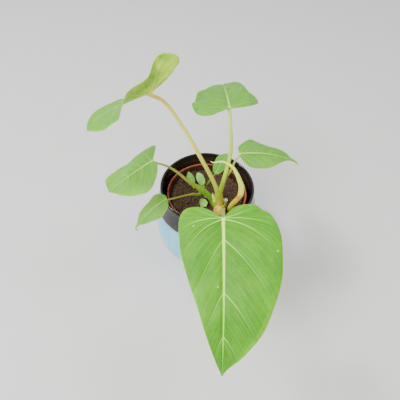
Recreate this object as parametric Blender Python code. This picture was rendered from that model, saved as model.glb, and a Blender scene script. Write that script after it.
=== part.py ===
# A young Philodendron gloriosum in its nursery pot, standing in a glazed outer pot.
# Metres, +Z up. The origin is the middle of the outer pot's foot, and the front leaf hangs towards -Y.
# Shapes are given in millimetres and scaled by MM.
import math

import bmesh
import bpy
import numpy as np
from mathutils import Matrix, Vector, noise

MM = 0.001
CLEARANCE = 0.3      # between pieces that touch
MERGE = 0.02         # vertices nearer than this are one

# Outer pot: a turned, glazed body with a thin rounded lip
POT_HEIGHT = 108.0
POT_RIM_RADIUS = 70.0
POT_BELLY_RADIUS = 78.6
POT_FOOT_RADIUS = 75.5
POT_SHOULDER_RADIUS = 75.0
POT_WALL = 4.0
POT_FLOOR = 8.0
POT_SEGMENTS = 45    # odd, so no facet edge crosses the middle of the foot

# Nursery pot: thin moulded plastic with a rolled rim and holes in its base
NURSERY_RIM_RADIUS = 60.0
NURSERY_BASE_RADIUS = 43.0
NURSERY_HEIGHT = 85.0
NURSERY_WALL = 1.3
NURSERY_LIP_WIDTH = 2.6
NURSERY_LIP_DEPTH = 7.0
NURSERY_SEGMENTS = 41
DRAIN_HOLES = 6
DRAIN_RADIUS = 4.0
DRAIN_CIRCLE = 27.0

# Soil
SOIL_LEVEL = 84.0
SOIL_RINGS = 7
SOIL_LUMP = 2.2
SOIL_LUMP_SIZE = 9.0

# Stems
STEM_SIDES = 8
STEM_RINGS = 11
KNEE_LENGTH = 9.0    # top of each stem that belongs to the blade
KNEE_RUN = 8.0       # how far the knee follows the midrib

# Blade relief
WEB = 0.8
VEIN_RIB = 0.7
VEIN_HALF_BAND = 0.014
LARGE_ROWS = (0.0, 0.08, 0.36, 0.68, 1.0)
SMALL_ROWS = (0.0, 0.14, 0.55, 1.0)
VEIN_BEND = (0.55, 0.22)    # where a vein bends most: how far out and how far ahead, as shares of the way
BACK_LEAN = 0.3             # the share ahead for veins that run backwards
LOBE_VEINS = (0.3, 0.62)    # margin fractions between which first_veins gives way to VEIN_BEND
RIB_SPREAD = 6.0     # nearer the midrib than this, the underside drops straight down from the leaf's plane

# Primary veins of each half: (where it meets the margin, where it leaves the midrib), from sinus to tip
VEINS = ((0.16, 0.0), (0.32, 0.0), (0.45, 0.01), (0.63, 0.15), (0.79, 0.48), (0.9, 0.74))
TAIL_VEINS = ((0.14, 0.0), (0.28, 0.0), (0.39, 0.05), (0.5, 0.2), (0.61, 0.4), (0.74, 0.64))
FEW_VEINS = ((0.2, 0.0), (0.41, 0.02), (0.62, 0.24), (0.8, 0.54))

# Each blade: base and angles place its midrib, outlines run from the sinus to the tip in millimetres,
# and profiles are (fraction of the length, degrees) or (fraction, left degrees, right degrees).
# first_veins is the bend of the veins in the lobes.
LEAVES = {
    "front": dict(
        veins=VEINS, first_veins=(0.72, 0.06),
        base=(14, -152, 232), heading=-88.5, pitch=-8, droop=45, length=155, lobe_bend=15, tip_curl=6,
        roll=((0, 6), (1, 6)), fold=((0, 4, 4), (1, 8, 8)), cup=-12, wave=1.6, waves=3.2, midrib=2.2,
        right=((0, 0), (9, -6), (18, -11.5), (27, -14), (38, -12.5), (43, -5), (44.5, 7), (44, 22),
               (42.5, 35), (38.5, 49), (32.5, 68), (25.5, 86), (18, 109), (11.5, 127), (6, 141), (0, 155)),
        left=((0, 0), (-5, -5.5), (-10, -10), (-17, -13.5), (-27, -14.5), (-34, -13.5), (-39, -8), (-46, -5),
              (-51, 2.5), (-55, 17), (-56.5, 32), (-55.5, 55), (-51, 74), (-45, 91), (-38, 107), (-29, 120),
              (-17, 134.5), (-5, 146.5), (0, 155)),
        stem=((25, -28, 86), (24, -40, 103), (20, -76, 147), (17, -117, 192), (14, -150, 231)),
        stem_radii=((0, 3.4), (0.2, 2.7), (1, 2.2)), petiole_colour=(0.42, 0.56, 0.18)),
    "tall": dict(
        veins=VEINS, first_veins=(0.55, 0.22),
        base=(-67, -31, 292), heading=197, pitch=-14, droop=20, length=88, lobe_bend=0, tip_curl=60,
        roll=((-0.2, 47), (0.25, 47), (0.36, 34), (0.45, 21), (0.68, 10), (1, 5)),
        fold=((-0.4, 44, 58), (-0.14, 44, 50), (-0.03, 24, 30), (0.08, 14, 20), (0.2, 6, 17), (0.45, -5, -5),
              (0.68, -6, -6), (1, -4, -4)),
        cup=-6, wave=1.5, waves=2.4, midrib=1.8,
        right=((0, 0), (4, -10), (11, -22), (22, -27), (31, -22), (35, -6), (35, 14), (34, 42), (26, 62),
               (14, 78), (0, 88)),
        left=((0, 0), (-3, -10), (-9, -22), (-16, -31), (-25, -39), (-35, -34), (-38, -21), (-32, -11),
              (-27, -3), (-28, 8), (-32, 26), (-32, 44), (-26, 62), (-14, 78), (0, 88)),
        stem=((20, -20, 86), (18, -24, 106), (12, -28, 134), (3, -29, 160), (-10, -29, 190),
              (-31, -28, 236), (-52, -29, 275), (-67, -31, 291)),
        stem_radii=((0, 5.2), (0.06, 4.4), (0.25, 2.9), (1, 2.0)), petiole_colour=(0.62, 0.5, 0.2)),
    "back": dict(
        veins=VEINS, first_veins=(0.5, 0.5),
        base=(20, -18, 264), heading=93, pitch=-12, droop=18, length=112, lobe_bend=35, tip_curl=20,
        roll=((0, 0), (1, 0)), fold=((0, 4, 4), (0.15, 4, 10), (0.5, 4, 24), (1, 4, 24)), cup=-25, wave=3.0,
        waves=2.6, midrib=2.0,
        right=((0, 0), (7, 0), (15, 1.5), (24, 5), (31, 9.5), (35.5, 16), (36.5, 24), (33, 31.5), (28, 37),
               (25, 46), (24, 60), (22.5, 73), (18, 87), (9, 101), (0, 112)),
        left=((0, 0), (-9, -7), (-22, -13), (-34, -10), (-42, 6), (-43, 26), (-38, 50), (-28, 74),
              (-14, 96), (0, 112)),
        stem=((17, -7, 82), (20, -8, 108), (23, -18, 150), (26, -19, 179), (27, -18, 200), (23, -17, 240),
              (20, -18, 263)),
        stem_radii=((0, 4.0), (0.3, 2.9), (1, 2.0)), petiole_colour=(0.42, 0.6, 0.14)),
    "right": dict(
        veins=TAIL_VEINS, first_veins=(0.5, 0.5),
        base=(37, -29, 203), heading=7, pitch=4, droop=45, length=96, lobe_bend=30, tip_curl=100,
        roll=((0, 2), (1, 2)), fold=((0, 5, 5), (1, 8, 8)), cup=-10, wave=1.4, waves=2.4, midrib=1.5,
        right=((0, 0), (6.5, 0.5), (10.5, 1.5), (18, 4.5), (24, 8.5), (25.5, 14), (25.5, 23), (25, 32.5),
               (22, 40), (14, 50.5), (5.5, 62.5), (2, 73), (1, 86), (0, 96)),
        left=((0, 0), (-6, -0.5), (-11, 0.5), (-14.5, 3.5), (-20, 10.5), (-22.5, 17.5), (-21, 22),
              (-17, 30.5), (-13.5, 40.5), (-12.5, 47), (-11, 58), (-8.5, 66), (-4, 72), (-1.5, 80), (-1, 88), (0, 96)),
        stem=((20, 4, 80), (23, 0, 110), (26, -10, 138), (30, -18, 160), (34, -23, 184), (37, -29, 202)),
        stem_radii=((0, 2.8), (0.3, 1.8), (1, 1.3)), petiole_colour=(0.4, 0.56, 0.18)),
    "left": dict(
        veins=FEW_VEINS, first_veins=(0.5, 0.5),
        base=(-70, -46, 202), heading=214, pitch=-14, droop=12, length=66, lobe_bend=15, tip_curl=10,
        roll=((0, 12), (1, 12)), fold=((0, 4, 4), (1, 8, 8)), cup=-12, wave=1.4, waves=2.2, midrib=1.5,
        right=((0, 0), (3, -2.5), (8, -6.5), (25.5, -18), (29, -13.5), (26.5, -4), (25.5, 6), (25, 15),
               (20.5, 28), (22.5, 39), (23.5, 50), (22, 58.5), (18, 63.5), (0, 66)),
        left=((0, 0), (-8.5, -2.5), (-17.5, 1), (-27.5, 6.5), (-35, 12), (-41, 19), (-42.5, 27), (-41, 35),
              (-37.5, 42.5), (-28, 50.5), (-19, 56), (-8, 61.5), (0, 66)),
        stem=((12, -18, 82), (5, -14.5, 97), (-2.5, -14, 107), (-13, -19, 124), (-28, -31, 151),
              (-42, -36, 173), (-56, -41, 189), (-70, -46, 201)),
        stem_radii=((0, 3.4), (0.08, 3.4), (0.16, 4.6), (0.27, 4.6), (0.38, 2.8), (0.5, 2.0), (1, 1.3)),
        petiole_colour=(0.42, 0.56, 0.16)),
    "low": dict(
        veins=FEW_VEINS, first_veins=(0.5, 0.5),
        base=(-54, -56, 142), heading=222, pitch=0, droop=50, length=66, lobe_bend=15, tip_curl=140,
        roll=((0, 15), (1, 15)), fold=((0, 5, 5), (1, 8, 8)), cup=-12, wave=1.0, waves=2.0, midrib=1.2,
        right=((0, 0), (4, -2), (9.5, -1.5), (16, 2), (19, 8.5), (18, 14), (15, 21.5), (13, 31), (11, 40),
               (6.5, 47), (2.5, 52.5), (1, 58), (0, 66)),
        left=((0, 0), (-3.5, 0.5), (-9, 4), (-16.5, 9.5), (-21, 17), (-22.5, 24), (-19, 31), (-15, 38),
              (-9.5, 45.5), (-3.5, 51), (-1, 58), (0, 66)),
        stem=((-2.5, 12, 78), (-8, -5, 95), (-14.6, -15.6, 104), (-20, -21, 111), (-29, -31, 120),
              (-41, -43, 129), (-54, -56, 141)),
        stem_radii=((0, 1.8), (0.3, 2.2), (0.42, 2.1), (0.55, 1.3), (1, 1.1)),
        petiole_colour=(0.36, 0.5, 0.14)),
    "small": dict(
        veins=FEW_VEINS, first_veins=(0.5, 0.5),
        base=(11, 5, 128), heading=52, pitch=50, droop=12, length=34, lobe_bend=10, tip_curl=20,
        roll=((0, 0), (1, 0)), fold=((0, 6, 6), (1, 8, 8)), cup=-10, wave=0.8, waves=2.0, midrib=1.0,
        right=((0, 0), (3, 1), (6.5, 5), (9.5, 12), (10.5, 20), (8.5, 27), (4, 32), (0, 34)),
        left=((0, 0), (-4, 1), (-7.5, 5), (-9.5, 11), (-10.5, 18), (-8.5, 25), (-4, 31), (0, 34)),
        stem=((-1.3, 22, 80), (3.5, 18, 97), (8, 12, 114), (11, 5, 127)),
        stem_radii=((0, 1.8), (1, 1.0)), petiole_colour=(0.3, 0.44, 0.12)),
}
ON_RHIZOME = ("front", "tall", "back", "right", "left")

# Small leaves of side shoots, each one piece with its stem
SHOOTS = {
    "shoot_leaf_a": dict(
        veins=FEW_VEINS[1:3], first_veins=(0.5, 0.5),
        base=(-23, 15, 91), heading=110, pitch=40, droop=25, length=22, lobe_bend=5, tip_curl=10,
        roll=((0, 0), (1, 0)), fold=((0, 14, 14), (1, 10, 10)), cup=-8, wave=0.3, waves=1.5, midrib=0.8,
        right=((0, 0), (3, -1), (6, 6), (4.5, 15), (0, 22)),
        left=((0, 0), (-3, -1), (-6, 6), (-4.5, 15), (0, 22)),
        stem=((-19, 13, 78), (-20, 13.5, 84), (-23, 15, 90.4)), stem_radii=((0, 1.3), (1, 0.9))),
    "shoot_leaf_b": dict(
        veins=FEW_VEINS[1:3], first_veins=(0.5, 0.5),
        base=(-7, 18, 89), heading=120, pitch=45, droop=20, length=20, lobe_bend=5, tip_curl=10,
        roll=((0, 0), (1, 0)), fold=((0, 14, 14), (1, 10, 10)), cup=-8, wave=0.3, waves=1.5, midrib=0.8,
        right=((0, 0), (3, -1), (6, 5), (6, 13), (3, 18), (0, 20)),
        left=((0, 0), (-3, -1), (-6, 5), (-6, 13), (-3, 18), (0, 20)),
        stem=((-3, 16, 78), (-4, 17, 83), (-7, 18, 88.4)), stem_radii=((0, 1.3), (1, 0.9))),
    "shoot_leaf_c": dict(
        veins=FEW_VEINS[1:3], first_veins=(0.5, 0.5),
        base=(-5, -26, 90), heading=104, pitch=25, droop=30, length=14, lobe_bend=5, tip_curl=10,
        roll=((0, 0), (1, 0)), fold=((0, 10, 10), (1, 8, 8)), cup=-8, wave=0.3, waves=1.5, midrib=0.8,
        right=((0, 0), (4, -1), (8, 5), (5, 11), (0, 14)),
        left=((0, 0), (-3, -1), (-4, 5), (-3, 10), (0, 14)),
        stem=((-5, -27, 78), (-5, -27, 84), (-5, -26, 89.4)), stem_radii=((0, 1.3), (1, 0.9))),
}

# Rhizome: half in the soil, ringed by leaf scars, with the stub of a cut stem
RHIZOME_PATH = ((15, -36, 83), (19, -28, 85), (19, -14, 84), (18, -2, 82), (19, 10, 79))
RHIZOME_RADII = ((0, 6.0), (0.12, 8.8), (0.5, 8.0), (0.9, 7.0), (1, 4.5))
RHIZOME_RINGS = 16
RHIZOME_SIDES = 12
SCAR_HEIGHT = 0.5
STUB_PATH = ((27, -19, 84), (28, -19, 99))
STUB_RADII = ((0, 3.2), (1, 2.8))

# Papery sheaths: (path, radii, flattening across the path)
SHEATHS = {
    "cataphyll_curled": dict(
        path=((35, -26, 79), (36, -29, 97), (40, -34, 115), (45, -37, 131), (45, -38, 149), (41, -38, 163),
              (36, -37, 175), (31, -35, 183), (24, -32, 187), (16, -29, 187.5), (9, -27, 184), (5, -26, 182),
              (1, -25, 184)),
        radii=((0, 4.4), (0.25, 4.2), (0.38, 4.0), (0.5, 3.9), (0.7, 2.6), (0.82, 1.6), (1, 0.5)), flat=0.5,
        rings=26, colour=(0.86, 0.78, 0.36)),
    "cataphyll_short": dict(
        path=((14, -28, 82), (12.5, -25, 89), (10.8, -20, 97.3), (8.8, -17, 104), (7.7, -15, 108.3)),
        radii=((0, 2.2), (0.4, 2.6), (0.8, 1.8), (1, 0.6)), flat=0.45, rings=8, colour=(0.4, 0.6, 0.16)),
    "cataphyll_golden": dict(
        path=((4, -3, 79), (4, -6, 87), (-1, -9.5, 91), (-4.5, -8, 93)),
        radii=((0, 1.6), (0.5, 2.2), (1, 0.6)), flat=0.5, rings=8, colour=(0.72, 0.5, 0.16)),
}

COLOURS = {
    "glaze": (0.42, 0.62, 0.72), "terracotta": (0.5, 0.2, 0.1), "soil": (0.06, 0.035, 0.022),
    "leaf": (0.2, 0.42, 0.1), "rhizome": (0.42, 0.3, 0.12),
}


def material(name, colour, roughness):
    """One Principled material in the piece's colour."""
    made = bpy.data.materials.new(name)
    made.use_nodes = True
    shader = made.node_tree.nodes["Principled BSDF"]
    shader.inputs["Base Color"].default_value = (*colour, 1.0)
    shader.inputs["Roughness"].default_value = roughness
    shader.inputs["Metallic"].default_value = 0.0
    return made


def finish(name, bm, surface):
    """Turn a bmesh in millimetres into an object of one closed body in metres."""
    bmesh.ops.remove_doubles(bm, verts=bm.verts, dist=MERGE)
    bmesh.ops.recalc_face_normals(bm, faces=bm.faces)
    bmesh.ops.transform(bm, matrix=Matrix.Scale(MM, 4), verts=bm.verts)
    mesh = bpy.data.meshes.new(name)
    bm.to_mesh(mesh)
    bm.free()
    mesh.materials.append(surface)
    mesh.shade_smooth()
    mesh.set_sharp_from_angle(angle=math.radians(40))
    piece = bpy.data.objects.new(name, mesh)
    bpy.context.scene.collection.objects.link(piece)
    return piece


def combine(piece, others, operation):
    """Join the other objects to the piece, or cut them from it, and remove them."""
    group = bpy.data.collections.new(piece.name + "_" + operation.lower())
    bpy.context.scene.collection.children.link(group)
    for other in others:
        bpy.context.scene.collection.objects.unlink(other)
        group.objects.link(other)
    boolean = piece.modifiers.new(operation.lower(), "BOOLEAN")
    boolean.operation = operation
    boolean.solver = "EXACT"
    boolean.operand_type = "COLLECTION"
    boolean.collection = group
    bpy.context.view_layer.update()
    graph = bpy.context.evaluated_depsgraph_get()
    result = bpy.data.meshes.new_from_object(piece.evaluated_get(graph))
    piece.modifiers.clear()
    old = piece.data
    piece.data = result
    bpy.data.meshes.remove(old)
    for other in list(group.objects):
        bpy.data.objects.remove(other)
    bpy.data.collections.remove(group)


def curve_through(points, samples=12):
    """A dense Catmull-Rom curve through the points."""
    given = np.array(points, dtype=float)
    padded = np.vstack([2 * given[0] - given[1], given, 2 * given[-1] - given[-2]])
    dense = []
    for a, b, c, d in zip(padded, padded[1:], padded[2:], padded[3:]):
        for t in np.arange(samples) / samples:
            dense.append(0.5 * (2 * b + (c - a) * t + (2 * a - 5 * b + 4 * c - d) * t ** 2
                                + (3 * b - a - 3 * c + d) * t ** 3))
    dense.append(given[-1])
    return np.array(dense)


def along(curve, fractions):
    """Points at fractions of a dense curve's length."""
    steps = np.linalg.norm(np.diff(curve, axis=0), axis=1)
    length = np.concatenate([[0.0], np.cumsum(steps)])
    wanted = np.asarray(fractions) * length[-1]
    return np.stack([np.interp(wanted, length, curve[:, k]) for k in range(curve.shape[1])], axis=-1)


def curve_length(curve):
    return float(np.linalg.norm(np.diff(curve, axis=0), axis=1).sum())


def profile_at(profile, t):
    """Read a profile of (fraction, value, ...) rows at t, one column for each value."""
    table = np.array(profile, dtype=float)
    return [np.interp(t, table[:, 0], table[:, k]) for k in range(1, table.shape[1])]


def ease(t):
    """0 up to t = 0, 1 from t = 1, smooth between."""
    t = min(max(t, 0.0), 1.0)
    return t * t * (3 - 2 * t)


def turned(name, profile, segments, surface):
    """Spin an open profile of (radius, height) about Z and close its two end rings."""
    bm = bmesh.new()
    points = [bm.verts.new((radius, 0.0, height)) for radius, height in profile]
    edges = [bm.edges.new(pair) for pair in zip(points, points[1:])]
    bmesh.ops.spin(bm, geom=points + edges, cent=(0, 0, 0), axis=(0, 0, 1), angle=math.tau,
                   steps=segments, use_merge=True)
    bmesh.ops.holes_fill(bm, edges=[edge for edge in bm.edges if edge.is_boundary], sides=0)
    return finish(name, bm, surface)


def outer_pot():
    """The glazed pot: a neck that widens to a slightly bulging body."""
    outside = curve_through(((POT_FOOT_RADIUS, 4), (POT_BELLY_RADIUS - 0.8, 25), (POT_BELLY_RADIUS, 49),
                             (POT_SHOULDER_RADIUS, 74), (POT_RIM_RADIUS + 0.6, 98), (POT_RIM_RADIUS, 105)), 4)
    body = along(outside, np.linspace(0, 1, 8))
    inside = [(radius - POT_WALL, max(height, POT_FLOOR + 6)) for radius, height in body[::-1]][:-2]
    lip = [(POT_RIM_RADIUS - 0.6, POT_HEIGHT - 1), (POT_RIM_RADIUS - 1.8, POT_HEIGHT),
           (POT_RIM_RADIUS - 3.0, POT_HEIGHT - 0.8)]
    foot = [(30.0, 0.0), (POT_FOOT_RADIUS - 4, 0.0), (POT_FOOT_RADIUS - 1.2, 1.0)]
    floor = [(POT_FOOT_RADIUS - POT_WALL - 3, POT_FLOOR), (30.0, POT_FLOOR)]
    profile = foot + [tuple(point) for point in body] + lip + inside + floor
    return turned("outer_pot", profile, POT_SEGMENTS, material("glaze", COLOURS["glaze"], 0.12))


def nursery_radius(height):
    """Outer radius of the nursery pot's wall at a height above its own base."""
    top = NURSERY_RIM_RADIUS - NURSERY_LIP_WIDTH + NURSERY_WALL
    return NURSERY_BASE_RADIUS + (top - NURSERY_BASE_RADIUS) * height / NURSERY_HEIGHT


def nursery_pot():
    """The plastic pot that holds the soil, standing on the outer pot's floor."""
    base = POT_FLOOR + CLEARANCE
    top = base + NURSERY_HEIGHT
    under_lip = NURSERY_HEIGHT - NURSERY_LIP_DEPTH
    profile = [(14.0, base), (NURSERY_BASE_RADIUS - 1, base), (NURSERY_BASE_RADIUS, base + 1),
               (nursery_radius(under_lip), base + under_lip),
               (NURSERY_RIM_RADIUS - 0.6, base + under_lip), (NURSERY_RIM_RADIUS, base + under_lip + 1),
               (NURSERY_RIM_RADIUS, top - 0.8), (NURSERY_RIM_RADIUS - 0.8, top),
               (NURSERY_RIM_RADIUS - NURSERY_LIP_WIDTH + 0.6, top),
               (NURSERY_RIM_RADIUS - NURSERY_LIP_WIDTH, top - 0.8),
               (nursery_radius(0) - NURSERY_WALL, base + 2.0), (14.0, base + 2.0)]
    pot = turned("nursery_pot", profile, NURSERY_SEGMENTS, material("plastic", COLOURS["terracotta"], 0.45))
    drills = []
    for index in range(DRAIN_HOLES):
        turn = math.tau * index / DRAIN_HOLES
        bm = bmesh.new()
        bmesh.ops.create_cone(bm, cap_ends=True, segments=10, radius1=DRAIN_RADIUS, radius2=DRAIN_RADIUS,
                              depth=8.0)
        place = Matrix.Translation((DRAIN_CIRCLE * math.cos(turn), DRAIN_CIRCLE * math.sin(turn), base + 1))
        bmesh.ops.transform(bm, matrix=place, verts=bm.verts)
        drills.append(finish("drill", bm, pot.data.materials[0]))
    combine(pot, drills, "DIFFERENCE")
    return pot


def soil():
    """A lumpy mix that fills the nursery pot to just under its rim."""
    base = POT_FLOOR + CLEARANCE + 2.0 + CLEARANCE
    wall = NURSERY_WALL + CLEARANCE + 0.25
    edge = nursery_radius(SOIL_LEVEL - POT_FLOOR) - wall
    side = [(nursery_radius(base - POT_FLOOR) - wall - 0.5, base), (edge, SOIL_LEVEL - 1.0)]
    rings = [(edge * (1 - index / SOIL_RINGS), SOIL_LEVEL) for index in range(SOIL_RINGS)]
    body = turned("soil", [(10.0, base)] + side + rings[1:], NURSERY_SEGMENTS,
                  material("soil", COLOURS["soil"], 0.95))
    bm = bmesh.new()
    bm.from_mesh(body.data)
    top = [vertex for vertex in bm.verts if vertex.co.z > (SOIL_LEVEL - 0.1) * MM]
    for vertex in top:
        spot = Vector((vertex.co.x, vertex.co.y, 3.1 * MM)) / (SOIL_LUMP_SIZE * MM)
        vertex.co.z += SOIL_LUMP * MM * noise.noise(spot)
    middle = [face for face in bm.faces if len(face.verts) > 4 and face.calc_center_median().z > 50 * MM]
    bmesh.ops.poke(bm, faces=middle)
    bmesh.ops.triangulate(bm, faces=bm.faces)
    bm.to_mesh(body.data)
    bm.free()
    return body


def tube(name, path, radii, surface, sides=STEM_SIDES, rings=STEM_RINGS, flat=1.0, grow=0.0, scars=0.0):
    """A tapering stem along a path; grow widens and lengthens it, for the hole that it stands in."""
    curve = curve_through(path)
    fractions = np.linspace(0, 1, rings)
    centres = along(curve, fractions)
    headings = along(curve, np.clip(fractions + 0.01, 0, 1)) - along(curve, np.clip(fractions - 0.01, 0, 1))
    headings /= np.linalg.norm(headings, axis=1)[:, None]
    centres[0] -= headings[0] * grow
    centres[-1] += headings[-1] * grow
    bm = bmesh.new()
    across = Vector((1, 0, 0))
    loops = []
    for index, (centre, heading) in enumerate(zip(centres, headings)):
        axis = Vector(heading)
        across = (across - axis * across.dot(axis)).normalized()
        other = axis.cross(across)
        radius = profile_at(radii, fractions[index])[0] + grow + (scars if index % 2 else 0.0)
        loop = []
        for step in range(sides):
            turn = math.tau * step / sides
            depth = radius * flat + grow * (1 - flat)
            offset = across * math.cos(turn) * radius + other * math.sin(turn) * depth
            loop.append(bm.verts.new(Vector(centre) + offset))
        loops.append(loop)
    for lower, upper in zip(loops, loops[1:]):
        for step in range(sides):
            after = (step + 1) % sides
            bm.faces.new((lower[step], lower[after], upper[after], upper[step]))
    bm.faces.new(loops[0])
    bm.faces.new(loops[-1])
    return finish(name, bm, surface)


def midrib_table(leaf, steps=40):
    """Points and side and up directions along the midrib, from behind the sinus to the tip."""
    fractions = np.linspace(-0.75, 1, steps * 7 + 1)
    curl = np.clip((fractions - 0.8) / 0.2, 0, 1) ** 2 * leaf["tip_curl"]
    pitch = np.radians(leaf["pitch"] - leaf["droop"] * np.clip(fractions, 0, 1) - curl
                       + leaf["lobe_bend"] * np.clip(-fractions / 0.2, 0, 1.25))
    heading = math.radians(leaf["heading"])
    forward = np.stack([math.cos(heading) * np.cos(pitch), math.sin(heading) * np.cos(pitch), np.sin(pitch)],
                       axis=-1)
    stride = (fractions[1] - fractions[0]) * leaf["length"]
    points = np.vstack([[0, 0, 0], np.cumsum((forward[1:] + forward[:-1]) / 2 * stride, axis=0)])
    sinus = np.argmin(np.abs(fractions))
    points += np.array(leaf["base"]) - points[sinus]
    side = np.tile([math.sin(heading), -math.cos(heading), 0.0], (len(fractions), 1))
    up = np.cross(side, forward)
    roll = np.radians(profile_at(leaf["roll"], fractions)[0])[:, None]
    return (fractions, points, side * np.cos(roll) - up * np.sin(roll),
            up * np.cos(roll) + side * np.sin(roll), forward)


def blade_point(leaf, table, x, y):
    """Where a point of the flat outline (x across, y along, in millimetres) lies on the shaped blade."""
    fractions, points, sides, ups, _ = table
    t = y / leaf["length"]
    centre, side, up = (np.array([np.interp(t, fractions, column) for column in part.T])
                        for part in (points, sides, ups))
    left, right = profile_at(leaf["fold"], t)
    reach = max(abs(px) for px, _ in leaf["right"] + leaf["left"])
    fold = math.radians(left if x < 0 else right)
    bend = math.radians(leaf["cup"]) / reach
    distance, hand = abs(x), (-1 if x < 0 else 1)
    angle = fold + bend * distance
    out = (math.sin(angle) - math.sin(fold)) / bend
    rise = (math.cos(fold) - math.cos(angle)) / bend
    ripple = leaf["wave"] * (distance / reach) ** 2 * math.sin(math.tau * leaf["waves"] * t + hand)
    normal = up * math.cos(angle) - side * hand * math.sin(angle)
    return centre + side * hand * out + up * rise + normal * ripple


def columns_of(veins):
    """Margin fractions of the blade's columns: the sinus edge, three for each vein and one between veins."""
    marks = [0.0] + [margin for margin, _ in veins] + [1.0]
    columns = {veins[0][0] / 2, 0.94, 1.0}
    for margin, _ in veins:
        columns.update((margin - VEIN_HALF_BAND, margin, margin + VEIN_HALF_BAND))
    for before, after in zip(marks[1:], marks[2:]):
        columns.add((before + after) / 2)
    return sorted(columns)


def flat_point(leaf, outline, column, row):
    """A point of the flat half blade, on the curved line that a vein at that column would follow.

    The first column is the edge of the sinus itself, so it follows the outline."""
    veins, length = leaf["veins"], leaf["length"]
    if column == veins[0][0] / 2:
        return along(outline, [row * column])[0]
    margins = [0.0] + [margin for margin, _ in veins] + [1.0]
    starts = [0.0] + [start for _, start in veins] + [1.0]
    start = np.array([0.0, np.interp(column, margins, starts) * length])
    end = along(outline, [column])[0]
    share = ease((column - LOBE_VEINS[0]) / (LOBE_VEINS[1] - LOBE_VEINS[0]))
    reach, ahead = (first + (usual - first) * share for first, usual in zip(leaf["first_veins"], VEIN_BEND))
    lean = ahead if end[1] > start[1] else BACK_LEAN
    control = np.array([reach * end[0], start[1] + lean * (end[1] - start[1])])
    return (1 - row) ** 2 * start + 2 * row * (1 - row) * control + row ** 2 * end


def blade_thickness(leaf, x, y, row, on_vein):
    """Web plus the ribs that stand out of the underside."""
    t = min(max(y / leaf["length"], 0.0), 1.0)
    size = leaf["midrib"] * (1 - 0.7 * t)
    behind = min(y, 0.0)
    nearness = max(0.0, 1 - math.hypot(x, behind) / (size * 1.4))
    vein = VEIN_RIB * (1 - 0.85 * row) * (1 - nearness) if on_vein else 0.0
    return WEB + size * nearness * 0.8 + vein


def blade(name, leaf, rows, surface):
    """A triangulated sheet, thickened downwards by its ribs."""
    table = midrib_table(leaf)
    bm = bmesh.new()
    depth = bm.verts.layers.float.new("depth")
    drop = bm.verts.layers.float_vector.new("drop")
    spread = bm.verts.layers.float.new("spread")
    plane = bm.verts.layers.float_vector.new("plane")
    columns = columns_of(leaf["veins"])
    vein_marks = {margin for margin, _ in leaf["veins"]}
    for half in ("left", "right"):
        outline = curve_through(leaf[half], 8)
        grid = []
        for column in columns:
            line = []
            for row in rows:
                x, y = flat_point(leaf, outline, column, row)
                hand = -1e-6 if half == "left" else 1e-6
                vertex = bm.verts.new(blade_point(leaf, table, x + hand, y))
                vertex[depth] = blade_thickness(leaf, x, y, row, column in vein_marks)
                vertex[spread] = min(math.hypot(x, min(y, 0.0)) / RIB_SPREAD, 1.0)
                vertex[plane] = [np.interp(y / leaf["length"], table[0], part) for part in table[3].T]
                line.append(vertex)
            grid.append(line)
        for here, there in zip(grid, grid[1:]):
            for index in range(len(rows) - 1):
                corners = (here[index], here[index + 1], there[index + 1], there[index])
                bm.faces.new(corners if half == "right" else corners[::-1])
    bmesh.ops.remove_doubles(bm, verts=bm.verts, dist=MERGE)
    bmesh.ops.triangulate(bm, faces=bm.faces)
    bmesh.ops.dissolve_degenerate(bm, edges=bm.edges, dist=MERGE)
    bm.normal_update()
    for vertex in bm.verts:
        straight = 1.0 - vertex[spread]
        down = vertex.normal * (1.0 - straight) + vertex[plane] * straight
        vertex[drop] = down.normalized() * -vertex[depth]
    extruded = bmesh.ops.extrude_face_region(bm, geom=list(bm.faces))["geom"]
    for vertex in (item for item in extruded if isinstance(item, bmesh.types.BMVert)):
        vertex.co += vertex[drop]
    return finish(name, bm, surface)


def stem_curve(leaf):
    """The stem's points up to the sinus, then a short run under the midrib."""
    _, points, _, ups, _ = table = midrib_table(leaf)
    fractions = table[0]
    radius = leaf["stem_radii"][-1][1]
    end = []
    for run, sink in ((0.35, 1.7), (1.0, 0.95)):
        t = KNEE_RUN * run / leaf["length"] * (leaf["length"] / 100) ** 0.5
        centre = np.array([np.interp(t, fractions, column) for column in points.T])
        up = np.array([np.interp(t, fractions, column) for column in ups.T])
        end.append(tuple(centre - up * (radius * sink + 0.1)))
    return list(leaf["stem"][:-1]) + end


def split_stem(leaf):
    """The stem's path below the knee, and the knee's own path, a clearance apart."""
    curve = curve_through(stem_curve(leaf))
    length = curve_length(curve)
    knee = KNEE_LENGTH * (leaf["length"] / 100) ** 0.5 + KNEE_RUN * (leaf["length"] / 100) ** 0.5
    cut = 1 - knee / length
    gap = CLEARANCE / length
    lower = along(curve, np.linspace(0, cut, 40))
    upper = along(curve, np.linspace(cut + gap, 1, 6))
    return lower, upper


def build_leaf(key, leaf):
    """One leaf: its blade with the knee fused to it, and the stem below."""
    surface = material("leaf_" + key, COLOURS["leaf"], 0.5)
    rows = LARGE_ROWS if leaf["length"] > 60 else SMALL_ROWS
    sheet = blade("blade_" + key, leaf, rows, surface)
    lower, upper = split_stem(leaf)
    radius = leaf["stem_radii"][-1][1]
    knee = tube("knee_" + key, upper, ((0, radius), (0.6, radius), (1, radius * 0.4)), surface, rings=6)
    combine(sheet, [knee], "UNION")
    stem_surface = material("petiole_" + key, leaf["petiole_colour"], 0.45)
    tube("petiole_" + key, lower, leaf["stem_radii"], stem_surface)


def build_shoot(name, leaf):
    """A side shoot's small leaf, one piece with its stem."""
    surface = material(name, COLOURS["leaf"], 0.5)
    sheet = blade(name, leaf, SMALL_ROWS, surface)
    stem = tube("stem", stem_curve(leaf), leaf["stem_radii"], surface, sides=6, rings=6)
    combine(sheet, [stem], "UNION")


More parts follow.
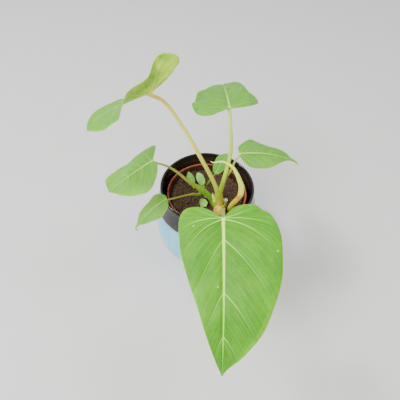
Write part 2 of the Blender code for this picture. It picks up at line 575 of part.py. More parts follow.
def stem_holes(keys):
    """Widened copies of the lower stems, to cut the holes that they stand in."""
    blank = bpy.data.materials.new("hole")
    holes = []
    for key in keys:
        leaf = LEAVES[key]
        lower, _ = split_stem(leaf)
        holes.append(tube("hole_" + key, lower, leaf["stem_radii"], blank, grow=CLEARANCE))
    return holes


def sheath_tube(name, sheath, grow=0.0):
    surface = material(name, sheath["colour"], 0.5)
    return tube(name, sheath["path"], sheath["radii"], surface, rings=sheath["rings"], flat=sheath["flat"],
                grow=grow)


def rhizome(grow=0.0, name="rhizome"):
    """The creeping stem with its leaf scars and the stub."""
    surface = material(name, COLOURS["rhizome"], 0.8)
    body = tube(name, RHIZOME_PATH, RHIZOME_RADII, surface, sides=RHIZOME_SIDES, rings=RHIZOME_RINGS,
                grow=grow, scars=SCAR_HEIGHT)
    stub = tube("stub", STUB_PATH, STUB_RADII, surface, rings=4, grow=grow)
    combine(body, [stub], "UNION")
    return body


def build():
    for old in list(bpy.data.objects):
        bpy.data.objects.remove(old)
    outer_pot()
    nursery_pot()
    ground = soil()
    for key, leaf in LEAVES.items():
        build_leaf(key, leaf)
    for name, leaf in SHOOTS.items():
        build_shoot(name, leaf)
    for name, sheath in SHEATHS.items():
        sheath_tube(name, sheath)
    short_hole = sheath_tube("hole_short", SHEATHS["cataphyll_short"], CLEARANCE)
    combine(rhizome(), stem_holes(ON_RHIZOME) + [short_hole], "DIFFERENCE")
    holes = stem_holes(LEAVES) + [rhizome(3 * CLEARANCE, "hole_rhizome")]
    holes += [sheath_tube("hole_" + name, sheath, CLEARANCE) for name, sheath in SHEATHS.items()]
    blank = bpy.data.materials.new("hole_shoot")
    for name, leaf in SHOOTS.items():
        holes.append(tube("hole_" + name, stem_curve(leaf), leaf["stem_radii"], blank, sides=6, rings=6,
                          grow=CLEARANCE))
    combine(ground, holes, "DIFFERENCE")


build()
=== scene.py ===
# Looks of a young Philodendron gloriosum in its nursery pot and glazed outer pot.
# Lengths in the dictionaries are millimetres, and mm turns them into Blender's metres.
# Only the studio's and the camera's are metres.
import math
import random

import bmesh
import bpy
import numpy as np
from mathutils import Matrix, Vector, noise


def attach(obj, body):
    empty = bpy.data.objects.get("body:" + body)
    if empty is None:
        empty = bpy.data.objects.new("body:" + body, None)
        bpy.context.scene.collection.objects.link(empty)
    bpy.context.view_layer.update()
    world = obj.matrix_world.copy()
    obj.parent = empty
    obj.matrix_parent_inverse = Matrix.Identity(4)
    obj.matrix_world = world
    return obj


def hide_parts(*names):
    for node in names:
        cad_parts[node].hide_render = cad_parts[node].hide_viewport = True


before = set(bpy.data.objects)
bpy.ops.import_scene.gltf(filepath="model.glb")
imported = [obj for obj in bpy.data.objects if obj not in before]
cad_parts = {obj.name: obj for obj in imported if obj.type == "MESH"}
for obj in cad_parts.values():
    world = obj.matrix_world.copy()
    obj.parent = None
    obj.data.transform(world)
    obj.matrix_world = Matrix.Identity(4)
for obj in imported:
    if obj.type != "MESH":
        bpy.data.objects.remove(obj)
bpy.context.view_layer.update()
mm = 0.001
mergeGap = 0.02 * mm  # vertices nearer than this are one
print("frame loaded")


# Shader maths: a Wire is one socket, and expressions on Wires add Math nodes
class Wire:
    def __init__(self, recipe, socket):
        self.recipe = recipe
        self.socket = socket

    def maths(self, operation, *others):
        values = {0: self}
        values.update({index + 1: other for index, other in enumerate(others)})
        return self.recipe.node("ShaderNodeMath", {"operation": operation}, values)

    def __add__(self, other):
        return self.maths("ADD", other)

    def __sub__(self, other):
        return self.maths("SUBTRACT", other)

    def __rsub__(self, other):
        return self.recipe.node("ShaderNodeMath", {"operation": "SUBTRACT"}, {0: other, 1: self})

    def __mul__(self, other):
        return self.maths("MULTIPLY", other)

    def __truediv__(self, other):
        return self.maths("DIVIDE", other)

    __radd__ = __add__
    __rmul__ = __mul__

    def least(self, other):
        return self.maths("MINIMUM", other)

    def most(self, other):
        return self.maths("MAXIMUM", other)

    def fromTo(self, low, high):  # 0 at low, 1 at high, smooth between them
        settings = {"interpolation_type": "SMOOTHSTEP"}
        return self.recipe.node("ShaderNodeMapRange", settings, {0: self, 1: low, 2: high})


# One material: nodes are added by type, with their settings first and then their inputs
class Recipe:
    def __init__(self, name, **constants):
        self.material = bpy.data.materials.new(name)
        self.material.use_nodes = True
        self.tree = self.material.node_tree
        self.shader = self.tree.nodes["Principled BSDF"]
        for label, value in constants.items():
            self.shader.inputs[label.replace("_", " ")].default_value = value

    def node(self, kind, settings, inputs, output=0):
        made = self.tree.nodes.new(kind)
        for label, value in settings.items():
            if label == "stops":
                self.setStops(made.color_ramp, value)
            else:
                setattr(made, label, value)
        for label, value in inputs.items():
            self.feed(made.inputs[label], value)
        return Wire(self, made.outputs[output])

    def feed(self, socket, value):
        if isinstance(value, Wire):
            self.tree.links.new(value.socket, socket)
        else:
            socket.default_value = value

    def setStops(self, ramp, stops):
        while len(ramp.elements) < len(stops):
            ramp.elements.new(1.0)
        for element, (place, colour) in zip(ramp.elements, stops):
            element.position = place
            element.color = (*colour, 1.0)

    def place(self):  # Object coordinates in millimetres
        coordinates = self.node("ShaderNodeTexCoord", {}, {}, "Object")
        return self.node("ShaderNodeVectorMath", {"operation": "SCALE"}, {0: coordinates, "Scale": 1 / mm})

    def attribute(self, name):
        return self.node("ShaderNodeAttribute", {"attribute_name": name}, {}, "Fac")

    def stretch(self, vector, factors):
        return self.node("ShaderNodeVectorMath", {"operation": "MULTIPLY"}, {0: vector, 1: factors})

    def parts(self, vector):
        split = self.node("ShaderNodeSeparateXYZ", {}, {0: vector})
        return [Wire(self, output) for output in split.socket.node.outputs]

    def noise(self, vector, scale, detail=3.0, rough=0.55):
        inputs = {"Vector": vector, "Scale": scale, "Detail": detail, "Roughness": rough}
        return self.node("ShaderNodeTexNoise", {}, inputs)

    def cells(self, vector, scale, feature="DISTANCE_TO_EDGE"):
        return self.node("ShaderNodeTexVoronoi", {"feature": feature}, {"Vector": vector, "Scale": scale})

    def blend(self, share, first, second):
        inputs = {"Factor": share, 6: self.colour(first), 7: self.colour(second)}
        return self.node("ShaderNodeMix", {"data_type": "RGBA"}, inputs, 2)

    def colour(self, value):
        return value if isinstance(value, Wire) else (*value, 1.0)

    def shade(self, colour, amount):  # colour made lighter or darker by a value round 1
        grey = self.node("ShaderNodeCombineColor", {}, {0: amount, 1: amount, 2: amount})
        inputs = {"Factor": 1.0, 6: self.colour(colour), 7: grey}
        return self.node("ShaderNodeMix", {"data_type": "RGBA", "blend_type": "MULTIPLY"}, inputs, 2)

    def finish(self, colour, roughness=None, height=None, lift=0.2, strength=1.0):  # lift in millimetres
        self.feed(self.shader.inputs["Base Color"], colour)
        if roughness is not None:
            self.feed(self.shader.inputs["Roughness"], roughness)
        if height is not None:
            inputs = {"Strength": strength, "Distance": lift * mm, "Height": height}
            self.feed(self.shader.inputs["Normal"], self.node("ShaderNodeBump", {}, inputs))
        return self.material


# Curves and profiles
def curveThrough(points, samples=12):  # dense Catmull-Rom curve
    given = np.array(points, dtype=float)
    padded = np.vstack([2 * given[0] - given[1], given, 2 * given[-1] - given[-2]])
    steps = (np.arange(samples) / samples)[:, None]
    dense = [0.5 * (2 * b + (c - a) * steps + (2 * a - 5 * b + 4 * c - d) * steps ** 2
                    + (3 * b - a - 3 * c + d) * steps ** 3)
             for a, b, c, d in zip(padded, padded[1:], padded[2:], padded[3:])]
    return np.vstack(dense + [given[-1:]])


def alongCurve(curve, fractions):  # points at fractions of the curve's length
    steps = np.linalg.norm(np.diff(curve, axis=0), axis=1)
    length = np.concatenate([[0.0], np.cumsum(steps)])
    wanted = np.asarray(fractions) * length[-1]
    return np.stack([np.interp(wanted, length, curve[:, k]) for k in range(curve.shape[1])], axis=-1)


def profileAt(profile, t):  # each column of the profile at t
    table = np.array(profile, dtype=float)
    return [np.interp(t, table[:, 0], table[:, k]) for k in range(1, table.shape[1])]


def smooth(value, low, high):  # 0 at low, 1 at high
    t = np.clip((value - low) / (high - low), 0, 1)
    return t * t * (3 - 2 * t)


def ripples(points, size, seed=0.0):  # Blender's noise at each point, -1 to 1
    return np.array([noise.noise(Vector(point) / size + Vector((seed, 0, 0))) for point in points])


# Meshes: a grid whose vertices are moved onto the piece
def gridOf(across, along):
    sheet = bmesh.new()
    bmesh.ops.create_grid(sheet, x_segments=across, y_segments=along, size=0.5)
    flat = np.array([vertex.co for vertex in sheet.verts])
    span = flat.max(axis=0)[:2] - flat.min(axis=0)[:2]
    return sheet, (flat[:, :2] - flat.min(axis=0)[:2]) / span


def moveGrid(sheet, points, values=None, uvs=None):  # values: by name, one number a vertex
    for vertex, point in zip(sheet.verts, points):
        vertex.co = Vector(point) * mm
    for name, numbers in (values or {}).items():
        layer = sheet.verts.layers.float.new(name)
        for vertex, number in zip(sheet.verts, numbers):
            vertex[layer] = float(number)
    if uvs is not None:
        sheet.verts.index_update()
        layer = sheet.loops.layers.uv.new("pieceMap")
        for face in sheet.faces:
            for loop in face.loops:
                loop[layer].uv = uvs[loop.vert.index]


def closeMesh(sheet):  # joins the seam, then fills and turns faces outwards
    bmesh.ops.remove_doubles(sheet, verts=sheet.verts, dist=mergeGap)
    bmesh.ops.holes_fill(sheet, edges=[edge for edge in sheet.edges if edge.is_boundary], sides=0)
    bmesh.ops.recalc_face_normals(sheet, faces=sheet.faces)


def addPiece(name, sheet, materials, nodes, sharp=None):
    mesh = bpy.data.meshes.new(name)
    sheet.to_mesh(mesh)
    sheet.free()
    for material in materials:
        mesh.materials.append(material)
    mesh.shade_smooth()
    if sharp is not None:
        mesh.set_sharp_from_angle(angle=math.radians(sharp))
    piece = bpy.data.objects.new(name, mesh)
    bpy.context.scene.collection.objects.link(piece)
    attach(piece, "root")
    if nodes:
        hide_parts(*nodes)
    return piece


# Stems and every other tube: sides run round u, rings run along v
def tubeSheet(path, radii, sides, rings, flat=1.0, groove=0.0, relief=None, rounded=(0.0, 1.0)):
    curve = curveThrough(path)
    sheet, grid = gridOf(sides, rings)
    turns, along = grid[:, 0] * math.tau, grid[:, 1]
    marks = np.linspace(0, 1, rings + 1)
    centres = alongCurve(curve, marks)
    behind, ahead = (alongCurve(curve, np.clip(marks + step, 0, 1)) for step in (-0.008, 0.008))
    headings = (ahead - behind) / np.linalg.norm(ahead - behind, axis=1)[:, None]
    acrosses, across = [], np.array([1.0, 0.0, 0.0])
    for heading in headings:
        across = across - heading * across.dot(heading)
        across /= np.linalg.norm(across)
        acrosses.append(across)
    acrosses = np.array(acrosses)
    others = np.cross(headings, acrosses)
    index = np.rint(along * rings).astype(int)
    radius = profileAt(radii, along)[0]
    domeEnd, domeStart = rounded  # the tube is domed before the first share and after the second
    if domeEnd > 0:
        radius = radius * np.sqrt(np.clip(along / domeEnd, 0.02, 1))
    if domeStart < 1:
        radius = radius * np.sqrt(np.clip((1 - along) / (1 - domeStart), 0.02, 1))
    radius = radius * (1 - groove * np.clip(np.cos(turns - math.pi / 2), 0, 1) ** 6)
    points = (centres[index] + acrosses[index] * (np.cos(turns) * radius)[:, None]
              + others[index] * (np.sin(turns) * radius * flat)[:, None])
    if relief is not None:
        outward = acrosses[index] * np.cos(turns)[:, None] + others[index] * np.sin(turns)[:, None]
        points = points + outward * relief(points, along)[:, None]
    length = np.linalg.norm(np.diff(curve, axis=0), axis=1).sum()
    values = {"alongStem": along, "stemLength": along * length,
              "roundX": np.cos(turns), "roundY": np.sin(turns)}
    moveGrid(sheet, points, values)
    closeMesh(sheet)
    return sheet


# Outer pot: the same profile as its solid, with a finer curve
# inside: painted reflection and painted light, the nursery pot's red-brown on the outer pot's black inner
# wall
outerPot = {"height": 108.0, "rim": 70.0, "belly": 78.6, "shoulder": 75.0, "foot": 75.5, "wall": 4.0,
            "floor": 8.0, "steps": 144, "glazeEdge": 74.0, "footLine": 3.4,
            "black": (0.012, 0.011, 0.012), "inside": (0.11, 0.066, 0.05), "blue": (0.15, 0.56, 0.86),
            "paleBlue": (0.3, 0.74, 0.95), "rimLine": (0.42, 0.39, 0.34), "clay": (0.72, 0.64, 0.5),
            "brown": (0.2, 0.1, 0.05)}


def potSide(pot):  # radius and height of the outer wall, from the foot to under the rim
    return ((pot["foot"], 4), (pot["belly"] - 0.8, 25), (pot["belly"], 49), (pot["shoulder"], 74),
            (pot["rim"] + 0.6, 98))


def outerPotProfile(pot):
    rim, wall, floor, foot = pot["rim"], pot["wall"], pot["floor"], pot["foot"]
    body = alongCurve(curveThrough(potSide(pot) + ((rim, 105),), 10), np.linspace(0, 1, 44))
    lip = curveThrough(((rim, 105), (rim - 0.5, 107), (rim - 1.9, pot["height"]), (rim - 3.4, 107.2),
                        (rim - 4, 105)), 5)[1:-1]
    inside = [(radius - wall, height) for radius, height in body[::-1] if height > floor + 6.5]
    inner = foot - wall
    corner = curveThrough(((inner, floor + 6), (inner - 1.2, 10.4), (inner - 3.6, floor + 0.4)), 4)
    bottom = [(inner - 5, floor), (30.0, floor), (3.0, floor)]
    under = [(3.0, 0.0), (30.0, 0.0), (foot - 4.4, 0.0), (foot - 3.2, 0.15),
             (foot - 1.2, 1.2), (foot - 0.5, 2.4)]
    return [*under, *body, *lip, *inside, *corner, *bottom]


def spun(profile, steps):
    sheet = bmesh.new()
    points = [sheet.verts.new((radius * mm, 0, height * mm)) for radius, height in profile]
    edges = [sheet.edges.new(pair) for pair in zip(points, points[1:])]
    bmesh.ops.spin(sheet, geom=points + edges, cent=(0, 0, 0), axis=(0, 0, 1), angle=math.tau,
                   steps=steps, use_merge=True)
    closeMesh(sheet)
    return sheet


def glazeMaterial(pot):
    recipe = Recipe("potGlaze", IOR=1.5, Specular_IOR_Level=0.5)
    place = recipe.place()
    _, _, z = recipe.parts(place)
    inner = recipe.attribute("innerWall")
    wobble = (recipe.noise(place, 0.06, 4) - 0.5) * 5 + (recipe.noise(place, 0.4, 3) - 0.5) * 1.6
    height = z + wobble
    cloud = recipe.noise(recipe.stretch(place, (1, 1, 0.4)), 0.035, 5)
    blue = recipe.blend(cloud.fromTo(0.3, 0.72), pot["blue"], pot["paleBlue"])
    speckled = recipe.noise(place, 0.08).fromTo(0.5, 0.62)
    specks = recipe.cells(place, 0.35, "F1").fromTo(0.16, 0.05) * speckled
    blue = recipe.blend(specks * 0.35, blue, pot["rimLine"])
    edge = pot["glazeEdge"]
    thin = height.fromTo(edge - 6, edge - 1.5) * height.fromTo(edge + 1.5, edge - 0.5)
    blue = recipe.blend(thin * 0.85, blue, pot["rimLine"])
    isBlack = height.fromTo(edge - 0.6, edge + 0.7).most(inner)
    # painted reflection and painted light: lower down, the black inner wall is lightened towards the nursery
    # pot's red-brown, in patches that follow the glaze's cloud
    black = recipe.blend(inner * z.fromTo(106, 92) * (cloud * 0.5 + 0.6), pot["black"], pot["inside"])
    colour = recipe.blend(isBlack, blue, black)
    line = pot["footLine"]
    isClay = (z + wobble * 0.06).fromTo(line + 0.25, line - 0.25) * (1 - inner)
    brown = (z + wobble * 0.1).fromTo(line + 1.5, line + 0.2) * (1 - isClay) * (1 - inner)
    colour = recipe.blend(brown * 0.8, colour, pot["brown"])
    grain = recipe.noise(place, 1.2, 4)
    colour = recipe.blend(isClay, colour, recipe.shade(pot["clay"], grain * 0.3 + 0.85))
    roughness = recipe.noise(place, 0.12, 4) * 0.08 + 0.09 + isClay * 0.55 + thin * 0.15
    bump = recipe.noise(place, 0.05, 2) * 0.6 + grain * isClay * 0.3
    return recipe.finish(colour, roughness, bump, 0.35, 0.5)


def makeOuterPot(pot):
    sheet = spun(outerPotProfile(pot), pot["steps"])
    layer = sheet.verts.layers.float.new("innerWall")
    outside = curveThrough(((pot["foot"], 0),) + potSide(pot) + ((pot["rim"], pot["height"]),), 10)
    for vertex in sheet.verts:
        radius, height = math.hypot(vertex.co.x, vertex.co.y) / mm, vertex.co.z / mm
        wall = np.interp(height, outside[:, 1], outside[:, 0])
        vertex[layer] = 1.0 if height > pot["floor"] - 1 and radius < wall - 2.2 else 0.0
    addPiece("outerPotGlazed", sheet, [glazeMaterial(pot)], ["outer_pot"], 50)


makeOuterPot(outerPot)
print("outer pot made")


# Nursery pot: moulded wall, rolled rim with a step under it, drain holes cut right through
nurseryPot = {"rim": 60.0, "base": 43.0, "height": 85.0, "wall": 1.3, "lip": 2.6, "lipDepth": 7.0,
              "stand": 8.3, "steps": 120, "holes": 6, "holeRadius": 4.0, "holeCircle": 27.0,
              "colour": (0.2, 0.045, 0.018), "worn": (0.4, 0.11, 0.045), "darkPatches": (0.06, 0.03, 0.02),
              "shade": (0.035, 0.011, 0.007)}


def nurseryRadius(pot, height):  # outer radius of the plain wall
    top = pot["rim"] - pot["lip"] + pot["wall"]
    return pot["base"] + (top - pot["base"]) * height / pot["height"]


def nurseryMaterial(pot):
    recipe = Recipe("nurseryPlastic", IOR=1.48)
    place = recipe.place()
    _, _, z = recipe.parts(place)
    mottle = recipe.noise(place, 0.09, 4)
    colour = recipe.blend(mottle.fromTo(0.35, 0.7), pot["colour"], pot["worn"])
    top = pot["stand"] + pot["height"]
    lip = z.fromTo(top - 1.4, top - 0.2)
    colour = recipe.blend(lip * 0.55 * recipe.noise(place, 0.5).fromTo(0.35, 0.6), colour, pot["worn"])
    # painted shade: the whole pot below its top edge is darkened towards the shade colour
    colour = recipe.blend(z.fromTo(top - 0.8, top - 3.5) * 0.85, colour, pot["shade"])
    # dark patches, growing stronger from the top edge down over 7 mm; they also raise the roughness
    darkPatches = recipe.noise(place, 0.3, 5, 0.65).fromTo(0.5, 0.66) * z.fromTo(top - 1.0, top - 8)
    colour = recipe.blend(darkPatches * 0.8, colour, pot["darkPatches"])
    rings = (z * 2.2).maths("SINE")
    bump = rings * 0.15 + recipe.noise(place, 1.6, 3) * 0.5
    return recipe.finish(colour, mottle * 0.25 + 0.32 + darkPatches * 0.3, bump, 0.15, 0.5)


def nurseryProfile(pot):
    rim, base, top = pot["rim"], pot["stand"], pot["stand"] + pot["height"]
    under, inner = pot["height"] - pot["lipDepth"], pot["rim"] - pot["lip"]
    foot = [(8.0, base), (pot["base"] - 1.4, base), (pot["base"] - 0.4, base + 0.4)]
    wall = [(nurseryRadius(pot, h), base + h) for h in np.linspace(1.4, under - 1, 10)]
    lip = curveThrough(((nurseryRadius(pot, under), base + under), (rim - 0.7, base + under + 0.1),
                        (rim, base + under + 1.2), (rim, top - 1.1), (rim - 0.5, top - 0.2),
                        (rim - 1.3, top), (inner + 0.4, top - 0.3), (inner, top - 1.2)), 3)
    inside = [(nurseryRadius(pot, h) - pot["wall"], base + h) for h in np.linspace(pot["height"] - 9, 3, 8)]
    bottom = [(nurseryRadius(pot, 0) - 2.6, base + 2), (8.0, base + 2)]
    return [*foot, *wall, *lip, *inside, *bottom]


def cutDrainHoles(piece, pot):
    drills = bmesh.new()
    radius = pot["holeRadius"] * mm
    for turn in np.arange(pot["holes"]) * math.tau / pot["holes"]:
        spot = Vector((math.cos(turn), math.sin(turn), 0)) * pot["holeCircle"]
        centre = (spot + Vector((0, 0, pot["stand"] + 1))) * mm
        bmesh.ops.create_cone(drills, cap_ends=True, segments=20, radius1=radius, radius2=radius,
                              depth=8 * mm, matrix=Matrix.Translation(centre))
    cutMesh = bpy.data.meshes.new("drainDrills")
    drills.to_mesh(cutMesh)
    drills.free()
    cutter = bpy.data.objects.new("drainDrills", cutMesh)
    bpy.context.scene.collection.objects.link(cutter)
    cut = piece.modifiers.new("drain", "BOOLEAN")
    cut.operation, cut.object = "DIFFERENCE", cutter
    bpy.context.view_layer.update()
    holed = bpy.data.meshes.new_from_object(piece.evaluated_get(bpy.context.evaluated_depsgraph_get()))
    piece.modifiers.clear()
    piece.data = holed
    bpy.data.objects.remove(cutter)


def makeNurseryPot(pot):
    sheet = spun(nurseryProfile(pot), pot["steps"])
    material = nurseryMaterial(pot)
    piece = addPiece("nurseryPotMoulded", sheet, [material], ["nursery_pot"], 40)
    cutDrainHoles(piece, pot)


makeNurseryPot(nurseryPot)
print("nursery pot made")


# Soil: one closed lumpy body, then crumbs and bark lying on it
soilMix = {"level": 84.0, "bottom": 10.6, "potFoot": 8.0, "steps": (150, 90), "topShare": 0.72,
           "sideShare": 0.94, "lumps": ((14.0, 2.0), (5.5, 1.3), (2.4, 0.7)), "edge": 56.0, "edgeDip": 1.6,
           "crumbs": 1300, "crumbReach": 54.0, "crumbSize": (0.5, 1.8),
           "chips": 60, "chipReach": 52.0, "chipSize": (1.6, 3.6), "seed": 11,
           "dark": (0.015, 0.007, 0.004), "brown": (0.13, 0.062, 0.03), "light": (0.34, 0.19, 0.1),
           "bark": (0.06, 0.025, 0.013), "barkPale": (0.2, 0.1, 0.055)}


def soilHeight(x, y):
    height = soilMix["level"]
    for size, lift in soilMix["lumps"]:
        height += lift * noise.noise(Vector((x, y, 3.1)) / size)
    return height - soilMix["edgeDip"] * float(smooth(math.hypot(x, y) / soilMix["edge"], 0.9, 1.0))


def soilMaterial(mix):
    recipe = Recipe("soilMix")
    place = recipe.place()
    grain = recipe.noise(place, 0.5, 8, 0.7)
    colour = recipe.blend(grain.fromTo(0.35, 0.68), mix["dark"], mix["brown"])
    flecked = recipe.noise(place, 0.25).fromTo(0.52, 0.64)
    flecks = recipe.cells(place, 0.55, "F1").fromTo(0.3, 0.1) * flecked
    colour = recipe.blend(flecks * 0.6, colour, mix["light"])
    bump = grain + recipe.cells(place, 0.45, "F1") * 0.6
    return recipe.finish(colour, grain * 0.2 + 0.75, bump, 1.2, 0.9)


def crumbMaterial(name, dark, light, scale):
    recipe = Recipe(name)
    place = recipe.place()
    grain = recipe.noise(recipe.stretch(place, (1, 1, 2.5)), scale, 6, 0.65)
    spots = recipe.cells(place, scale * 0.22, "F1").fromTo(0.1, 0.7)
    colour = recipe.blend(grain.fromTo(0.3, 0.7), dark, light)
    return recipe.finish(recipe.shade(colour, spots * 0.7 + 0.6), grain * 0.2 + 0.7, grain, 0.4, 0.8)


def makeSoil(mix):
    sheet, grid = gridOf(*mix["steps"])
    turns, along = grid[:, 0] * math.tau, grid[:, 1]
    top, side = mix["topShare"], mix["sideShare"]
    edge = nurseryRadius(nurseryPot, mix["level"] - mix["potFoot"]) - 1.9
    low = nurseryRadius(nurseryPot, mix["bottom"] - mix["potFoot"]) - 2.4
    radius = np.interp(along, (0, top, side, 1), (0.02, edge, low, 0.02))
    heights = np.full(len(radius), mix["bottom"])
    points = np.stack([np.cos(turns) * radius, np.sin(turns) * radius, heights], axis=-1)
    for point, mark in zip(points, along):
        if mark <= top + 1e-6:
            point[2] = soilHeight(point[0], point[1])
        elif mark < side:
            point[2] = np.interp(mark, (top, side), (mix["level"] - 3, mix["bottom"]))
    moveGrid(sheet, points)
    closeMesh(sheet)
    addPiece("soilBody", sheet, [soilMaterial(mix)], ["soil"])


def scatterSpot(chance, reach):
    while True:
        x, y = chance.uniform(-reach, reach), chance.uniform(-reach, reach)
        if math.hypot(x, y) < reach:
            return x, y


def turned(chance, tilt):  # any turn round Z, and a tilt about X between the two angles
    spin = Matrix.Rotation(chance.uniform(0, math.tau), 4, "Z")
    return spin @ Matrix.Rotation(chance.uniform(*tilt), 4, "X")


def makeCrumbs(mix, chance):
    crumbs = bmesh.new()
    for _ in range(mix["crumbs"]):
        x, y = scatterSpot(chance, mix["crumbReach"])
        size = chance.uniform(*mix["crumbSize"]) * (1.5 if chance.random() < 0.12 else 1)
        turn = turned(chance, (0, 3))
        scale = Matrix.Diagonal((size * mm, size * mm * chance.uniform(0.6, 1), size * mm * 0.7, 1))
        place = Matrix.Translation(Vector((x, y, soilHeight(x, y) + size * 0.3)) * mm)
        made = bmesh.ops.create_icosphere(crumbs, subdivisions=1, radius=1.0, matrix=place @ turn @ scale)
        for vertex in made["verts"]:
            vertex.co += Vector([chance.uniform(-0.18, 0.18) * size * mm for _ in range(3)])
    addPiece("soilCrumbs", crumbs, [crumbMaterial("crumbs", mix["dark"], mix["brown"], 0.9)], [])


def makeBarkChips(mix, chance):
    chips = bmesh.new()
    for _ in range(mix["chips"]):
        x, y = scatterSpot(chance, mix["chipReach"])
        size = chance.uniform(*mix["chipSize"])
        turn = turned(chance, (-0.5, 0.5))
        scale = Matrix.Diagonal((size * mm, size * mm * chance.uniform(0.35, 0.7), size * mm * 0.22, 1))
        place = Matrix.Translation(Vector((x, y, soilHeight(x, y) + size * 0.06)) * mm)
        made = bmesh.ops.create_cube(chips, size=1.0, matrix=place @ turn @ scale)
        edges = list(dict.fromkeys(edge for vertex in made["verts"] for edge in vertex.link_edges))
        bmesh.ops.bevel(chips, geom=edges, offset=size * 0.07 * mm, affect="EDGES", segments=1,
                        profile=0.5, material=-1)
    bmesh.ops.subdivide_edges(chips, edges=chips.edges, cuts=1)
    noise.seed_set(mix["seed"])  # unseeded, noise_vector differs from run to run
    for vertex in chips.verts:
        vertex.co += noise.noise_vector(vertex.co / (1.3 * mm)) * 0.22 * mm
    material = crumbMaterial("barkBits", mix["bark"], mix["barkPale"], 0.5)
    addPiece("barkChips", chips, [material], [], 35)


makeSoil(soilMix)
soilChance = random.Random(soilMix["seed"])
makeCrumbs(soilMix, soilChance)
makeBarkChips(soilMix, soilChance)
print("soil made")


